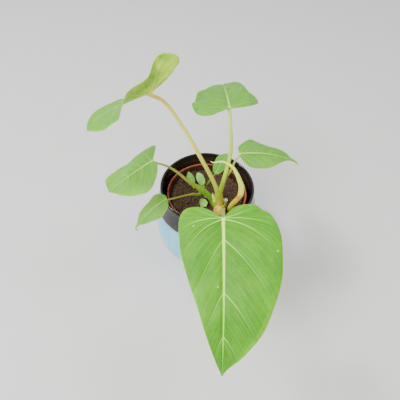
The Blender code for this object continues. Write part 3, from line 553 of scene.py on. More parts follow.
# Leaves: each base, angle, profile and outline is the one its solid has.
# Outlines leave out their ends, the sinus and the tip, and stems their end under the blade.
veinLines = ((0.16, 0.0), (0.32, 0.0), (0.45, 0.01), (0.63, 0.15), (0.79, 0.48), (0.9, 0.74))
tailVeinLines = ((0.14, 0.0), (0.28, 0.0), (0.39, 0.05), (0.5, 0.2), (0.61, 0.4), (0.74, 0.64))
fewVeinLines = ((0.2, 0.0), (0.41, 0.02), (0.62, 0.24), (0.8, 0.54))
usual = dict(veins=fewVeinLines, firstVeins=(0.5, 0.5), roll=((0, 0), (1, 0)))
leaves = {
    "front": dict(
        veins=veinLines, firstVeins=(0.72, 0.06),
        base=(14, -152, 232), heading=-88.5, pitch=-8, droop=45, length=155, lobeBend=15, tipCurl=6,
        roll=((0, 6), (1, 6)), fold=((0, 4, 4), (1, 8, 8)), cup=-12, wave=1.6, waves=3.2, midrib=2.2,
        right=((9, -6), (18, -11.5), (27, -14), (38, -12.5), (43, -5), (44.5, 7), (44, 22),
               (42.5, 35), (38.5, 49), (32.5, 68), (25.5, 86), (18, 109), (11.5, 127), (6, 141)),
        left=((-5, -5.5), (-10, -10), (-17, -13.5), (-27, -14.5), (-34, -13.5), (-39, -8), (-46, -5),
              (-51, 2.5), (-55, 17), (-56.5, 32), (-55.5, 55), (-51, 74), (-45, 91), (-38, 107), (-29, 120),
              (-17, 134.5), (-5, 146.5)),
        stem=((25, -28, 86), (24, -40, 103), (20, -76, 147), (17, -117, 192)),
        stemRadii=((0, 3.4), (0.2, 2.7), (1, 2.2))),
    "tall": dict(
        veins=veinLines, firstVeins=(0.55, 0.22),
        base=(-67, -31, 292), heading=197, pitch=-14, droop=20, length=88, lobeBend=0, tipCurl=60,
        roll=((-0.2, 47), (0.25, 47), (0.36, 34), (0.45, 21), (0.68, 10), (1, 5)),
        fold=((-0.4, 44, 58), (-0.14, 44, 50), (-0.03, 24, 30), (0.08, 14, 20), (0.2, 6, 17), (0.45, -5, -5),
              (0.68, -6, -6), (1, -4, -4)),
        cup=-6, wave=1.5, waves=2.4, midrib=1.8,
        right=((4, -10), (11, -22), (22, -27), (31, -22), (35, -6), (35, 14), (34, 42), (26, 62),
               (14, 78)),
        left=((-3, -10), (-9, -22), (-16, -31), (-25, -39), (-35, -34), (-38, -21), (-32, -11),
              (-27, -3), (-28, 8), (-32, 26), (-32, 44), (-26, 62), (-14, 78)),
        stem=((20, -20, 86), (18, -24, 106), (12, -28, 134), (3, -29, 160), (-10, -29, 190),
              (-31, -28, 236), (-52, -29, 275)),
        stemRadii=((0, 5.2), (0.06, 4.4), (0.25, 2.9), (1, 2.0))),
    "back": dict(
        usual, veins=veinLines,
        base=(20, -18, 264), heading=93, pitch=-12, droop=18, length=112, lobeBend=35, tipCurl=20,
        fold=((0, 4, 4), (0.15, 4, 10), (0.5, 4, 24), (1, 4, 24)), cup=-25, wave=3.0, waves=2.6, midrib=2.0,
        right=((7, 0), (15, 1.5), (24, 5), (31, 9.5), (35.5, 16), (36.5, 24), (33, 31.5), (28, 37),
               (25, 46), (24, 60), (22.5, 73), (18, 87), (9, 101)),
        left=((-9, -7), (-22, -13), (-34, -10), (-42, 6), (-43, 26), (-38, 50), (-28, 74),
              (-14, 96)),
        stem=((17, -7, 82), (20, -8, 108), (23, -18, 150), (26, -19, 179), (27, -18, 200), (23, -17, 240)),
        stemRadii=((0, 4.0), (0.3, 2.9), (1, 2.0))),
    "right": dict(
        usual, veins=tailVeinLines,
        base=(37, -29, 203), heading=7, pitch=4, droop=45, length=96, lobeBend=30, tipCurl=100,
        roll=((0, 2), (1, 2)), fold=((0, 5, 5), (1, 8, 8)), cup=-10, wave=1.4, waves=2.4, midrib=1.5,
        right=((6.5, 0.5), (10.5, 1.5), (18, 4.5), (24, 8.5), (25.5, 14), (25.5, 23), (25, 32.5),
               (22, 40), (14, 50.5), (5.5, 62.5), (2, 73), (1, 86)),
        left=((-6, -0.5), (-11, 0.5), (-14.5, 3.5), (-20, 10.5), (-22.5, 17.5), (-21, 22),
              (-17, 30.5), (-13.5, 40.5), (-12.5, 47), (-11, 58), (-8.5, 66), (-4, 72), (-1.5, 80),
              (-1, 88)),
        stem=((20, 4, 80), (23, 0, 110), (26, -10, 138), (30, -18, 160), (34, -23, 184)),
        stemRadii=((0, 2.8), (0.3, 1.8), (1, 1.3))),
    "left": dict(
        usual,
        base=(-70, -46, 202), heading=214, pitch=-14, droop=12, length=66, lobeBend=15, tipCurl=10,
        roll=((0, 12), (1, 12)), fold=((0, 4, 4), (1, 8, 8)), cup=-12, wave=1.4, waves=2.2, midrib=1.5,
        right=((3, -2.5), (8, -6.5), (25.5, -18), (29, -13.5), (26.5, -4), (25.5, 6), (25, 15),
               (20.5, 28), (22.5, 39), (23.5, 50), (22, 58.5), (18, 63.5)),
        left=((-8.5, -2.5), (-17.5, 1), (-27.5, 6.5), (-35, 12), (-41, 19), (-42.5, 27), (-41, 35),
              (-37.5, 42.5), (-28, 50.5), (-19, 56), (-8, 61.5)),
        stem=((12, -18, 82), (5, -14.5, 97), (-2.5, -14, 107), (-13, -19, 124), (-28, -31, 151),
              (-42, -36, 173), (-56, -41, 189)),
        stemRadii=((0, 3.4), (0.08, 3.4), (0.16, 4.6), (0.27, 4.6), (0.38, 2.8), (0.5, 2.0), (1, 1.3))),
    "low": dict(
        usual,
        base=(-54, -56, 142), heading=222, pitch=0, droop=50, length=66, lobeBend=15, tipCurl=140,
        roll=((0, 15), (1, 15)), fold=((0, 5, 5), (1, 8, 8)), cup=-12, wave=1.0, waves=2.0, midrib=1.2,
        right=((4, -2), (9.5, -1.5), (16, 2), (19, 8.5), (18, 14), (15, 21.5), (13, 31), (11, 40),
               (6.5, 47), (2.5, 52.5), (1, 58)),
        left=((-3.5, 0.5), (-9, 4), (-16.5, 9.5), (-21, 17), (-22.5, 24), (-19, 31), (-15, 38),
              (-9.5, 45.5), (-3.5, 51), (-1, 58)),
        stem=((-2.5, 12, 78), (-8, -5, 95), (-14.6, -15.6, 104), (-20, -21, 111), (-29, -31, 120),
              (-41, -43, 129)),
        stemRadii=((0, 1.8), (0.3, 2.2), (0.42, 2.1), (0.55, 1.3), (1, 1.1))),
    "small": dict(
        usual,
        base=(11, 5, 128), heading=52, pitch=50, droop=12, length=34, lobeBend=10, tipCurl=20,
        fold=((0, 6, 6), (1, 8, 8)), cup=-10, wave=0.8, waves=2.0, midrib=1.0,
        right=((3, 1), (6.5, 5), (9.5, 12), (10.5, 20), (8.5, 27), (4, 32)),
        left=((-4, 1), (-7.5, 5), (-9.5, 11), (-10.5, 18), (-8.5, 25), (-4, 31)),
        stem=((-1.3, 22, 80), (3.5, 18, 97), (8, 12, 114)),
        stemRadii=((0, 1.8), (1, 1.0))),
}
usualShoot = dict(usual, veins=fewVeinLines[1:3], lobeBend=5, tipCurl=10, fold=((0, 14, 14), (1, 10, 10)),
                  cup=-8, wave=0.3, waves=1.5, midrib=0.8, stemRadii=((0, 1.3), (1, 0.9)))
shoots = {
    "a": dict(
        usualShoot, base=(-23, 15, 91), heading=110, pitch=40, droop=25, length=22,
        right=((3, -1), (6, 6), (4.5, 15)),
        left=((-3, -1), (-6, 6), (-4.5, 15)),
        stem=((-19, 13, 78), (-20, 13.5, 84))),
    "b": dict(
        usualShoot, base=(-7, 18, 89), heading=120, pitch=45, droop=20, length=20,
        right=((3, -1), (6, 5), (6, 13), (3, 18)),
        left=((-3, -1), (-6, 5), (-6, 13), (-3, 18)),
        stem=((-3, 16, 78), (-4, 17, 83))),
    "c": dict(
        usualShoot, base=(-5, -26, 90), heading=104, pitch=25, droop=30, length=14,
        fold=((0, 10, 10), (1, 8, 8)),
        right=((4, -1), (8, 5), (5, 11)),
        left=((-3, -1), (-4, 5), (-3, 10)),
        stem=((-5, -27, 78), (-5, -27, 84))),
}


# What the blades share: veins, thickness and the swelling of the blade between its veins
bladeForm = {"rows": 24, "perGap": 9, "web": 0.55, "thickest": 2.6, "veinRib": 0.7, "quilt": 0.95,
             "groove": 0.3, "kneeRun": 8.0}
shootForm = dict(bladeForm, rows=12, perGap=6, web=0.45, thickest=1.4, veinRib=0.3, quilt=0.4, kneeRun=4.0)
# how far out and how far ahead a vein's bend lies, on blades longer than longBlade and on the others
longBlade, longBend, shortBend = 100, (0.52, 0.34), (0.55, 0.22)
leafColours = {
    "deep": (0.02, 0.1, 0.003), "mid": (0.05, 0.235, 0.003), "bright": (0.105, 0.36, 0.007),
    "yellow": (0.2, 0.55, 0.006), "haze": (0.38, 0.66, 0.2), "vein": (0.28, 0.76, 0.05),
    "cream": (0.66, 1.0, 0.13), "under": (0.5, 0.8, 0.03), "underRib": (0.82, 0.96, 0.16),
    "margin": (0.32, 0.74, 0.05), "grey": (0.14, 0.31, 0.06)}


def midribTable(leaf):
    fractions = np.linspace(-0.75, 1, 281)
    curl = np.clip((fractions - 0.8) / 0.2, 0, 1) ** 2 * leaf["tipCurl"]
    pitch = np.radians(leaf["pitch"] - leaf["droop"] * np.clip(fractions, 0, 1) - curl
                       + leaf["lobeBend"] * np.clip(-fractions / 0.2, 0, 1.25))
    heading = math.radians(leaf["heading"])
    level = np.cos(pitch)
    forward = np.stack([math.cos(heading) * level, math.sin(heading) * level, np.sin(pitch)], axis=-1)
    stride = (fractions[1] - fractions[0]) * leaf["length"]
    points = np.vstack([[0, 0, 0], np.cumsum((forward[1:] + forward[:-1]) / 2 * stride, axis=0)])
    points += np.array(leaf["base"]) - points[np.argmin(np.abs(fractions))]
    side = np.tile([math.sin(heading), -math.cos(heading), 0.0], (len(fractions), 1))
    up = np.cross(side, forward)
    roll = np.radians(profileAt(leaf["roll"], fractions)[0])[:, None]
    return fractions, points, side * np.cos(roll) - up * np.sin(roll), up * np.cos(roll) + side * np.sin(roll)


def readRows(fractions, t, table):
    return np.stack([np.interp(t, fractions, column) for column in table.T], axis=-1)


def onBlade(leaf, table, flat, hands, lift):  # flat points in millimetres, onto the shaped blade
    fractions, points, sides, ups = table
    x, y = flat[:, 0], flat[:, 1]
    t = y / leaf["length"]
    centre, side, up = (readRows(fractions, t, part) for part in (points, sides, ups))
    leftFold, rightFold = profileAt(leaf["fold"], t)
    reach = max(abs(px) for px, _ in leaf["right"] + leaf["left"])
    fold = np.radians(np.where(hands < 0, leftFold, rightFold))
    bend = math.radians(leaf["cup"]) / reach
    angle = fold + bend * np.abs(x)
    out = (np.sin(angle) - np.sin(fold)) / bend
    rise = (np.cos(fold) - np.cos(angle)) / bend
    ripple = leaf["wave"] * (np.abs(x) / reach) ** 2 * np.sin(math.tau * leaf["waves"] * t + hands)
    normal = up * np.cos(angle)[:, None] - side * (hands * np.sin(angle))[:, None]
    return centre + side * (hands * out)[:, None] + up * rise[:, None] + normal * (ripple + lift)[:, None]


def onFlat(leaf, outline, columns, rows):  # the curved line that a vein at each column follows
    veins, length = leaf["veins"], leaf["length"]
    margins = [0.0] + [margin for margin, _ in veins] + [1.0]
    starts = [0.0] + [start for _, start in veins] + [1.0]
    start = np.stack([np.zeros(len(columns)), np.interp(columns, margins, starts) * length], axis=-1)
    end = alongCurve(outline, columns)
    share = smooth(columns, 0.3, 0.62)
    bend = longBend if length > longBlade else shortBend
    reach, ahead = (first + (later - first) * share for first, later in zip(leaf["firstVeins"], bend))
    lean = np.where(end[:, 1] > start[:, 1], ahead, 0.3)
    control = np.stack([reach * end[:, 0], start[:, 1] + lean * (end[:, 1] - start[:, 1])], axis=-1)
    r = rows[:, None]
    curved = (1 - r) ** 2 * start + 2 * r * (1 - r) * control + r ** 2 * end
    first, second = veins[0][0] / 2, veins[0][0]
    share = smooth(columns, first, second)[:, None]
    return alongCurve(outline, rows * columns) * (1 - share) + curved * share


def columnMarks(veins, perGap):  # denser beside each vein
    marks = [veins[0][0] / 2] + [margin for margin, _ in veins] + [1.0]
    steps = np.linspace(0, 1, perGap + 1)[1:]
    eased = 0.5 - 0.5 * np.cos(math.pi * steps)
    columns = [marks[0]]
    for low, high in zip(marks, marks[1:]):
        columns += list(low + (high - low) * (0.45 * steps + 0.55 * eased))
    return np.array(columns), np.array(marks)


def bladeSheet(leaf, form):
    columns, marks = columnMarks(leaf["veins"], form["perGap"])
    sheet, grid = gridOf(2 * form["rows"], len(columns) - 1)
    signed = grid[:, 0] * 2 - 1
    hands = np.where(signed < 0, -1.0, 1.0)
    rows = np.abs(signed) ** 1.25
    column = columns[np.rint(grid[:, 1] * (len(columns) - 1)).astype(int)]
    phase = np.interp(column, marks, np.arange(len(marks)))
    share = phase - np.floor(phase)
    share = np.where(phase >= len(marks) - 1, 1.0, share)
    flat, gap, nudge = np.zeros((len(rows), 2)), np.zeros(len(rows)), 0.01
    for hand, key in ((-1.0, "left"), (1.0, "right")):
        own = hands == hand
        outline = curveThrough(((0, 0),) + leaf[key] + ((0, leaf["length"]),), 10)
        flat[own] = onFlat(leaf, outline, column[own], rows[own])
        ahead = onFlat(leaf, outline, np.clip(column[own] + nudge, 0, 1), rows[own])
        behind = onFlat(leaf, outline, np.clip(column[own] - nudge, 0, 1), rows[own])
        slope = np.interp(column[own], marks[:-1] + np.diff(marks) / 2, np.diff(marks))
        gap[own] = np.linalg.norm(ahead - behind, axis=1) / (2 * nudge) * slope
    t = np.clip(flat[:, 1] / leaf["length"], 0, 1)
    fromRib = np.abs(flat[:, 0])
    swell = np.sin(math.pi * share) * smooth(rows, 0.0, 0.25) * (1 - smooth(rows, 0.7, 1.0))
    size = min(leaf["length"] / 100, 1.2)
    nearVein = np.clip(1 - np.minimum(share, 1 - share) * gap / 1.6, 0, 1)
    lift = form["quilt"] * size * swell * np.clip(gap / 12, 0, 1) - form["groove"] * nearVein * (1 - rows)
    lift = lift - 0.35 * size * np.clip(1 - fromRib / 3.0, 0, 1) * (1 - t)
    ribSize = leaf["midrib"] * (1 - 0.7 * t)
    nearRib = np.clip(1 - np.hypot(fromRib, np.minimum(flat[:, 1], 0)) / (ribSize * 1.5), 0, 1)
    veinRise = form["veinRib"] * nearVein * (1 - 0.85 * rows) * (1 - nearRib)
    thickness = form["web"] + ribSize * 0.85 * nearRib + veinRise
    thickness = thickness * (1 - 0.35 * smooth(rows, 0.93, 1.0))
    table = midribTable(leaf)
    points = onBlade(leaf, table, flat, hands, lift)
    values = {"fromRib": fromRib, "alongLeaf": flat[:, 1] / leaf["length"], "veinGap": gap, "leafRow": rows,
              "thickness": thickness / form["thickest"]}
    uvs = np.stack([phase, signed], axis=-1)
    moveGrid(sheet, points, values, uvs)
    bmesh.ops.remove_doubles(sheet, verts=sheet.verts, dist=mergeGap)
    return sheet


def veinMasks(recipe, size):  # masks of the primary and fine veins, midrib and margin
    u, v, _ = recipe.parts(recipe.node("ShaderNodeUVMap", {"uv_map": "pieceMap"}, {}))
    gap = recipe.attribute("veinGap")
    row = recipe.attribute("leafRow")
    fromRib = recipe.attribute("fromRib")
    along = recipe.attribute("alongLeaf")
    place = recipe.place()
    share = u.maths("FRACT")
    wander = (recipe.noise(place, 0.05 / size, 2) - 0.5) * 0.8
    distance = share.least(1 - share) * gap + wander * 0.6
    width = 0.85 * size * (1 - row * 0.7)
    primary = distance.fromTo(width, width * 0.25) * row.fromTo(1.02, 0.72)
    ripple = (recipe.noise(place, 0.04 / size, 3) - 0.5) * 0.6
    fine = ((share * 4 + ripple).maths("FRACT") - 0.5).maths("ABSOLUTE") / 4 * gap
    secondary = fine.fromTo(0.7 * size, 0.1) * row.fromTo(0.05, 0.3) * row.fromTo(1.0, 0.75)
    rib = 2.1 * size * (1 - along * 0.8)
    midrib = fromRib.fromTo(rib, rib * 0.45) * along.fromTo(-0.03, 0.01)
    margin = row.fromTo(0.978, 0.992)
    net = recipe.cells(place, 0.3 / size).fromTo(0.09, 0.0)
    side = v.maths("SIGN")
    lines = recipe.node("ShaderNodeCombineXYZ", {}, {0: u * 7.0, 1: row * 1.6, 2: side * 4.0})
    streaks = recipe.noise(lines, 1.0, 5, 0.65)
    return {"primary": primary, "secondary": secondary, "midrib": midrib, "margin": margin, "net": net,
            "row": row, "along": along, "place": place, "streaks": streaks, "side": side}


def leafUpper(name, size, tint, tone, haze, colours, specks=()):
    recipe = Recipe(name, Sheen_Weight=0.05, Sheen_Roughness=0.45, Specular_IOR_Level=0.2)
    m = veinMasks(recipe, size)
    patch = recipe.noise(m["place"], 0.028 / size, 4)
    cloud = recipe.noise(m["place"], 0.11 / size, 4, 0.6)
    base = recipe.blend(patch.fromTo(0.25, 0.75) * 0.7 + tint * 0.3, colours["mid"], colours["bright"])
    base = recipe.blend((1 - m["row"]).fromTo(0.4, 1.0) * 0.35 * (1 - tint), base, colours["deep"])
    base = recipe.blend(cloud.fromTo(0.45, 0.8) * 0.28, base, colours["grey"])
    base = recipe.blend(patch.fromTo(0.7, 0.3) * (0.6 * haze) + 0.6 * haze, base, colours["haze"])
    base = recipe.blend(m["row"].fromTo(0.7, 1.0) * patch.fromTo(0.4, 0.7) * 0.35, base, colours["yellow"])
    edge = m["row"].fromTo(0.9, 1.0) * m["along"].fromTo(0.3, 0.75) * (0.45 - m["side"] * 0.35)
    base = recipe.blend(edge, base, colours["yellow"])
    base = recipe.shade(base, recipe.noise(m["place"], 0.6, 3) * 0.16 + m["streaks"] * 1.1 + 0.34)
    base = recipe.blend(m["net"] * 0.08, base, colours["vein"])
    base = recipe.blend(m["secondary"] * (0.16 * tone), base, colours["vein"])
    fade = m["row"].fromTo(1.0, 0.1)
    pale = recipe.blend(fade * 0.5, colours["vein"], colours["cream"])
    base = recipe.blend(m["primary"] * (fade * 0.55 + 0.35) * tone, base, pale)
    cream = recipe.blend(m["along"].fromTo(0.9, 0.1) * tone, colours["vein"], colours["cream"])
    base = recipe.blend(m["midrib"] * (0.45 + 0.5 * tone), base, cream)
    base = recipe.blend(m["margin"] * 0.75, base, colours["margin"])
    for centre, radius in specks:
        ends = {0: m["place"], 1: centre}
        apart = recipe.node("ShaderNodeVectorMath", {"operation": "DISTANCE"}, ends, "Value")
        base = recipe.blend(apart.fromTo(radius, radius * 0.4) * 0.8, base, colours["cream"])
    velvet = recipe.noise(m["place"], 2.2, 2)
    bump = velvet * 0.12 - m["secondary"] * 0.25 - m["net"] * 0.1 + m["primary"] * 0.25 + m["midrib"] * 0.3
    rough = cloud * 0.16 + 0.44 - m["midrib"] * 0.08
    return recipe.finish(base, rough, bump, 0.35, 0.6)


def leafUnder(name, size, colours):
    recipe = Recipe(name, Sheen_Weight=0.1, Specular_IOR_Level=0.3)
    m = veinMasks(recipe, size)
    patch = recipe.noise(m["place"], 0.04 / size, 4)
    base = recipe.blend(patch.fromTo(0.3, 0.75), colours["under"], colours["bright"])
    base = recipe.shade(base, recipe.noise(m["place"], 0.5, 3) * 0.2 + 0.9)
    base = recipe.blend(m["net"] * 0.18, base, colours["underRib"])
    base = recipe.blend(m["secondary"] * 0.3, base, colours["underRib"])
    base = recipe.blend(m["primary"].most(m["midrib"]) * 0.8, base, colours["underRib"])
    base = recipe.blend(m["margin"] * 0.6, base, colours["margin"])
    bump = recipe.noise(m["place"], 1.5, 2) * 0.15 + m["net"] * 0.1 + m["secondary"] * 0.3
    return recipe.finish(base, patch * 0.15 + 0.45, bump, 0.35, 0.6)


def addThickness(piece, form):
    group = piece.vertex_groups.new(name="thickness")
    values = np.zeros(len(piece.data.vertices))
    piece.data.attributes["thickness"].data.foreach_get("value", values)
    for index, value in enumerate(values):
        group.add([index], float(min(value, 1.0)), "REPLACE")
    shell = piece.modifiers.new("bladeThickness", "SOLIDIFY")
    shell.thickness = form["thickest"] * mm
    shell.offset = -1.0
    shell.vertex_group = "thickness"
    shell.use_quality_normals = True
    shell.material_offset = 1
    shell.material_offset_rim = 0


# tint of each leaf (0 deep green, 1 fresh), how pale its veins are, and how hazy its green is
leafTints = {"front": (0.35, 1.0, 0.0), "tall": (0.9, 0.4, 0.16), "back": (0.4, 0.5, 0.12),
             "right": (0.5, 0.65, 0.2), "left": (0.65, 0.8, 0.2), "low": (0.85, 0.6, 0.28),
             "small": (0.3, 0.3, 0.1)}
shootHaze = {"a": 0.3, "b": 0.85, "c": 0.6}
# pale specks on the front leaf: centre and radius
frontSpecks = (((-15.3, -161.8, 229.3), 1.1), ((66.0, -186.3, 228.1), 1.1), ((10.2, -217.8, 211.4), 1.0))


def stemToBlade(leaf, run):  # the stem's points up to the sinus, then along the underside of the midrib
    fractions, points, _, ups = midribTable(leaf)
    radius = leaf["stemRadii"][-1][1]
    end = []
    for share, sink in ((0.35, 1.7), (1.0, 0.95)):
        t = run * share / leaf["length"] * (leaf["length"] / 100) ** 0.5
        centre, up = readRows(fractions, t, points), readRows(fractions, t, ups)
        end.append(tuple(centre - up * (radius * sink + 0.1)))
    return list(leaf["stem"]) + end


def stemMaterial(name, stops, streak, spots):
    recipe = Recipe(name, Sheen_Weight=0.04, Specular_IOR_Level=0.3)
    along = recipe.attribute("alongStem")
    around = recipe.node("ShaderNodeCombineXYZ", {}, {0: recipe.attribute("roundX") * 3.0,
                                                      1: recipe.attribute("roundY") * 3.0,
                                                      2: recipe.attribute("stemLength") * 0.12})
    place = recipe.place()
    drift = (recipe.noise(place, 0.08, 3) - 0.5) * 0.14
    colour = recipe.node("ShaderNodeValToRGB", {"stops": stops}, {0: along + drift})
    lines = recipe.noise(around, 1.4, 4, 0.6)
    colour = recipe.shade(colour, lines * 0.9 + 0.5)
    colour = recipe.blend(lines.fromTo(0.52, 0.75) * 0.4, colour, streak)
    colour = recipe.shade(colour, recipe.noise(place, 0.45, 4) * 0.3 + 0.85)
    dots = recipe.cells(place, 0.8, "F1").fromTo(0.3, 0.14) * recipe.noise(place, 0.2).fromTo(0.45, 0.6)
    colour = recipe.blend(dots * spots, colour, stemMarks["dots"])
    bump = lines * 0.6 + recipe.noise(place, 1.2, 3) * 0.4
    return recipe.finish(colour, lines * 0.15 + 0.36, bump, 0.3, 0.6)


stemStops = {
    "green": ((0.0, (0.42, 0.5, 0.03)), (0.12, (0.38, 0.56, 0.03)), (0.5, (0.36, 0.52, 0.04)),
              (0.8, (0.46, 0.6, 0.08)), (1.0, (0.6, 0.78, 0.14))),
    "mottled": ((0.0, (0.42, 0.4, 0.03)), (0.15, (0.36, 0.5, 0.03)), (0.6, (0.34, 0.48, 0.04)),
                (0.84, (0.3, 0.36, 0.05)), (0.91, (0.36, 0.34, 0.08)), (0.96, (0.8, 0.95, 0.14))),
    "tan": ((0.0, (0.8, 0.42, 0.015)), (0.06, (0.76, 0.62, 0.02)), (0.13, (0.42, 0.58, 0.015)),
            (0.42, (0.58, 0.64, 0.04)), (0.62, (0.92, 0.86, 0.13)), (0.82, (0.8, 0.7, 0.09)),
            (0.95, (0.66, 0.46, 0.08)), (1.0, (0.78, 0.68, 0.1))),
    "fresh": ((0.0, (0.66, 0.92, 0.02)), (0.35, (0.56, 0.82, 0.02)), (0.7, (0.66, 0.84, 0.04)),
              (0.94, (0.84, 0.98, 0.1)), (1.0, (0.62, 0.9, 0.06))),
    "olive": ((0.0, (0.3, 0.5, 0.02)), (0.14, (0.14, 0.36, 0.012)), (0.3, (0.26, 0.48, 0.02)),
              (0.42, (0.34, 0.4, 0.02)), (0.8, (0.27, 0.28, 0.03)), (1.0, (0.42, 0.54, 0.06)))}
stemKinds = {"front": "mottled", "tall": "tan", "back": "fresh", "right": "green", "left": "olive",
             "low": "olive", "small": "olive"}
stemSpots = {"front": 0.7, "tall": 0.25, "back": 0.1, "right": 0.1, "left": 0.2, "low": 0.2, "small": 0.1}
stemMarks = {"leafStreak": (0.7, 0.74, 0.16), "shootStreak": (0.6, 0.66, 0.25),
             "sheathStreak": (0.8, 0.76, 0.4), "dots": (0.1, 0.075, 0.02)}


def makeLeaf(key, leaf):
    size = (leaf["length"] / 158) ** 0.6
    specks = frontSpecks if key == "front" else ()
    upper = leafUpper("leafUpper_" + key, size, *leafTints[key], leafColours, specks)
    under = leafUnder("leafUnder_" + key, size, leafColours)
    sheet = bladeSheet(leaf, bladeForm)
    blade = addPiece("leafBlade_" + key, sheet, [upper, under], ["blade_" + key])
    addThickness(blade, bladeForm)
    path = stemToBlade(leaf, bladeForm["kneeRun"])
    last = leaf["stemRadii"][-1][1]
    radii = tuple(leaf["stemRadii"][:-1]) + ((0.9, last), (0.95, last * 1.12), (0.98, last), (1, last * 0.4))
    stem = tubeSheet(path, radii, 24, 110, groove=0.14, rounded=(0.0, 0.985))
    stops = stemStops[stemKinds[key]]
    material = stemMaterial("stemSkin_" + key, stops, stemMarks["leafStreak"], stemSpots[key])
    slot = "petiole_tan" if key == "tall" else "petiole"
    addPiece("leafStem_" + key, stem, [material], ["petiole_" + key])


def makeShoot(key, leaf):
    upper = leafUpper("shootUpper_" + key, 0.3, 1.0, 0.25, shootHaze[key], leafColours)
    under = leafUnder("shootUnder_" + key, 0.3, leafColours)
    sheet = bladeSheet(leaf, shootForm)
    blade = addPiece("shootBlade_" + key, sheet, [upper, under], ["shoot_leaf_" + key])
    addThickness(blade, shootForm)
    path = stemToBlade(leaf, shootForm["kneeRun"])
    stem = tubeSheet(path, leaf["stemRadii"], 14, 24, rounded=(0.0, 0.9))
    material = stemMaterial("shootSkin_" + key, stemStops["fresh"], stemMarks["shootStreak"], 0.0)
    addPiece("shootStem_" + key, stem, [material], [])


for key, leaf in leaves.items():
    makeLeaf(key, leaf)
for key, leaf in shoots.items():
    makeShoot(key, leaf)
print("leaves made")


# Rhizome: ringed by leaf scars, rough between them, with the stub of a cut stem and root nubs
rhizomeForm = {"path": ((15, -36, 83), (19, -28, 85), (19, -14, 84), (18, -2, 82), (19, 10, 79)),
               "radii": ((0, 6.0), (0.12, 8.8), (0.5, 8.0), (0.9, 7.0), (1, 4.5)), "scarEvery": 0.105,
               "stub": ((27, -19, 84), (28, -19, 99)), "stubRadii": ((0, 3.2), (1, 2.8)),
               "nubs": 26, "nubSize": (0.5, 1.1), "seed": 5,
               "stops": ((0.0, (0.22, 0.12, 0.02)), (0.25, (0.46, 0.32, 0.03)), (0.55, (0.66, 0.52, 0.05)),
                         (1.0, (0.7, 0.6, 0.1))),
               "scar": (0.2, 0.1, 0.03), "stubDark": (0.2, 0.17, 0.05), "stubPale": (0.44, 0.42, 0.17),
               "stubSpots": (0.1, 0.06, 0.03), "cutEnd": (0.5, 0.44, 0.26)}


def scarRelief(points, along):
    ring = np.abs((along / rhizomeForm["scarEvery"]) % 1.0 - 0.5) * 2
    ridge = 0.5 * smooth(ring, 0.72, 1.0) - 0.2
    return ridge + 0.35 * ripples(points, 4.0) + 0.08 * ripples(points, 1.2, 7.0)


def stubRelief(points, along):
    return 0.3 * ripples(points, 1.8)


def rhizomeMaterial(form):
    recipe = Recipe("rhizomeSkin", Specular_IOR_Level=0.3)
    place = recipe.place()
    along = recipe.attribute("alongStem")
    grain = recipe.noise(recipe.stretch(place, (1, 0.4, 1)), 0.35, 6, 0.6)
    colour = recipe.node("ShaderNodeValToRGB", {"stops": form["stops"]}, {0: grain * 1.5 - 0.3})
    ring = ((along / form["scarEvery"]).maths("FRACT") - 0.5).maths("ABSOLUTE").fromTo(0.38, 0.47)
    colour = recipe.blend(ring * 0.45, colour, form["scar"])
    return recipe.finish(colour, grain * 0.2 + 0.5, grain, 0.3, 0.7)


def stubMaterial(form):
    recipe = Recipe("stubSkin", Specular_IOR_Level=0.3)
    place = recipe.place()
    grain = recipe.noise(place, 0.9, 5, 0.6)
    colour = recipe.blend(grain.fromTo(0.3, 0.7), form["stubDark"], form["stubPale"])
    spots = recipe.cells(place, 0.9, "F1").fromTo(0.35, 0.15)
    colour = recipe.blend(spots * 0.5, colour, form["stubSpots"])
    _, _, z = recipe.parts(place)
    top = form["stub"][-1][2]
    colour = recipe.blend(z.fromTo(top - 1, top - 0.2) * 0.7, colour, form["cutEnd"])
    return recipe.finish(colour, grain * 0.2 + 0.6, grain, 0.4, 0.8)


def makeRootNubs(form, skin):
    chance = random.Random(form["seed"])
    nubs = bmesh.new()
    curve = curveThrough(form["path"])
    for _ in range(form["nubs"]):
        spot = alongCurve(curve, [chance.uniform(0.08, 0.92)])[0]
        side = chance.choice((-1, 1)) * chance.uniform(0.75, 1.25)
        outward = Vector((math.sin(side), 0, math.cos(side) * 0.8))
        centre = (Vector(spot) + outward * profileAt(form["radii"], 0.5)[0] * 0.98) * mm
        size = chance.uniform(*form["nubSize"]) * mm
        scale = Matrix.Diagonal((size, size, size * 0.8, 1))
        place = Matrix.Translation(centre)
        bmesh.ops.create_icosphere(nubs, subdivisions=2, radius=1.0, matrix=place @ scale)
    addPiece("rootNubs", nubs, [skin], [])


def makeRhizome(form):
    skin = rhizomeMaterial(form)
    body = tubeSheet(form["path"], form["radii"], 48, 130, relief=scarRelief, rounded=(0.05, 0.95))
    addPiece("rhizomeBody", body, [skin], ["rhizome"])
    stub = tubeSheet(form["stub"], form["stubRadii"], 24, 30, relief=stubRelief)
    addPiece("cutStub", stub, [stubMaterial(form)], [], 60)
    makeRootNubs(form, skin)


makeRhizome(rhizomeForm)
print("rhizome made")


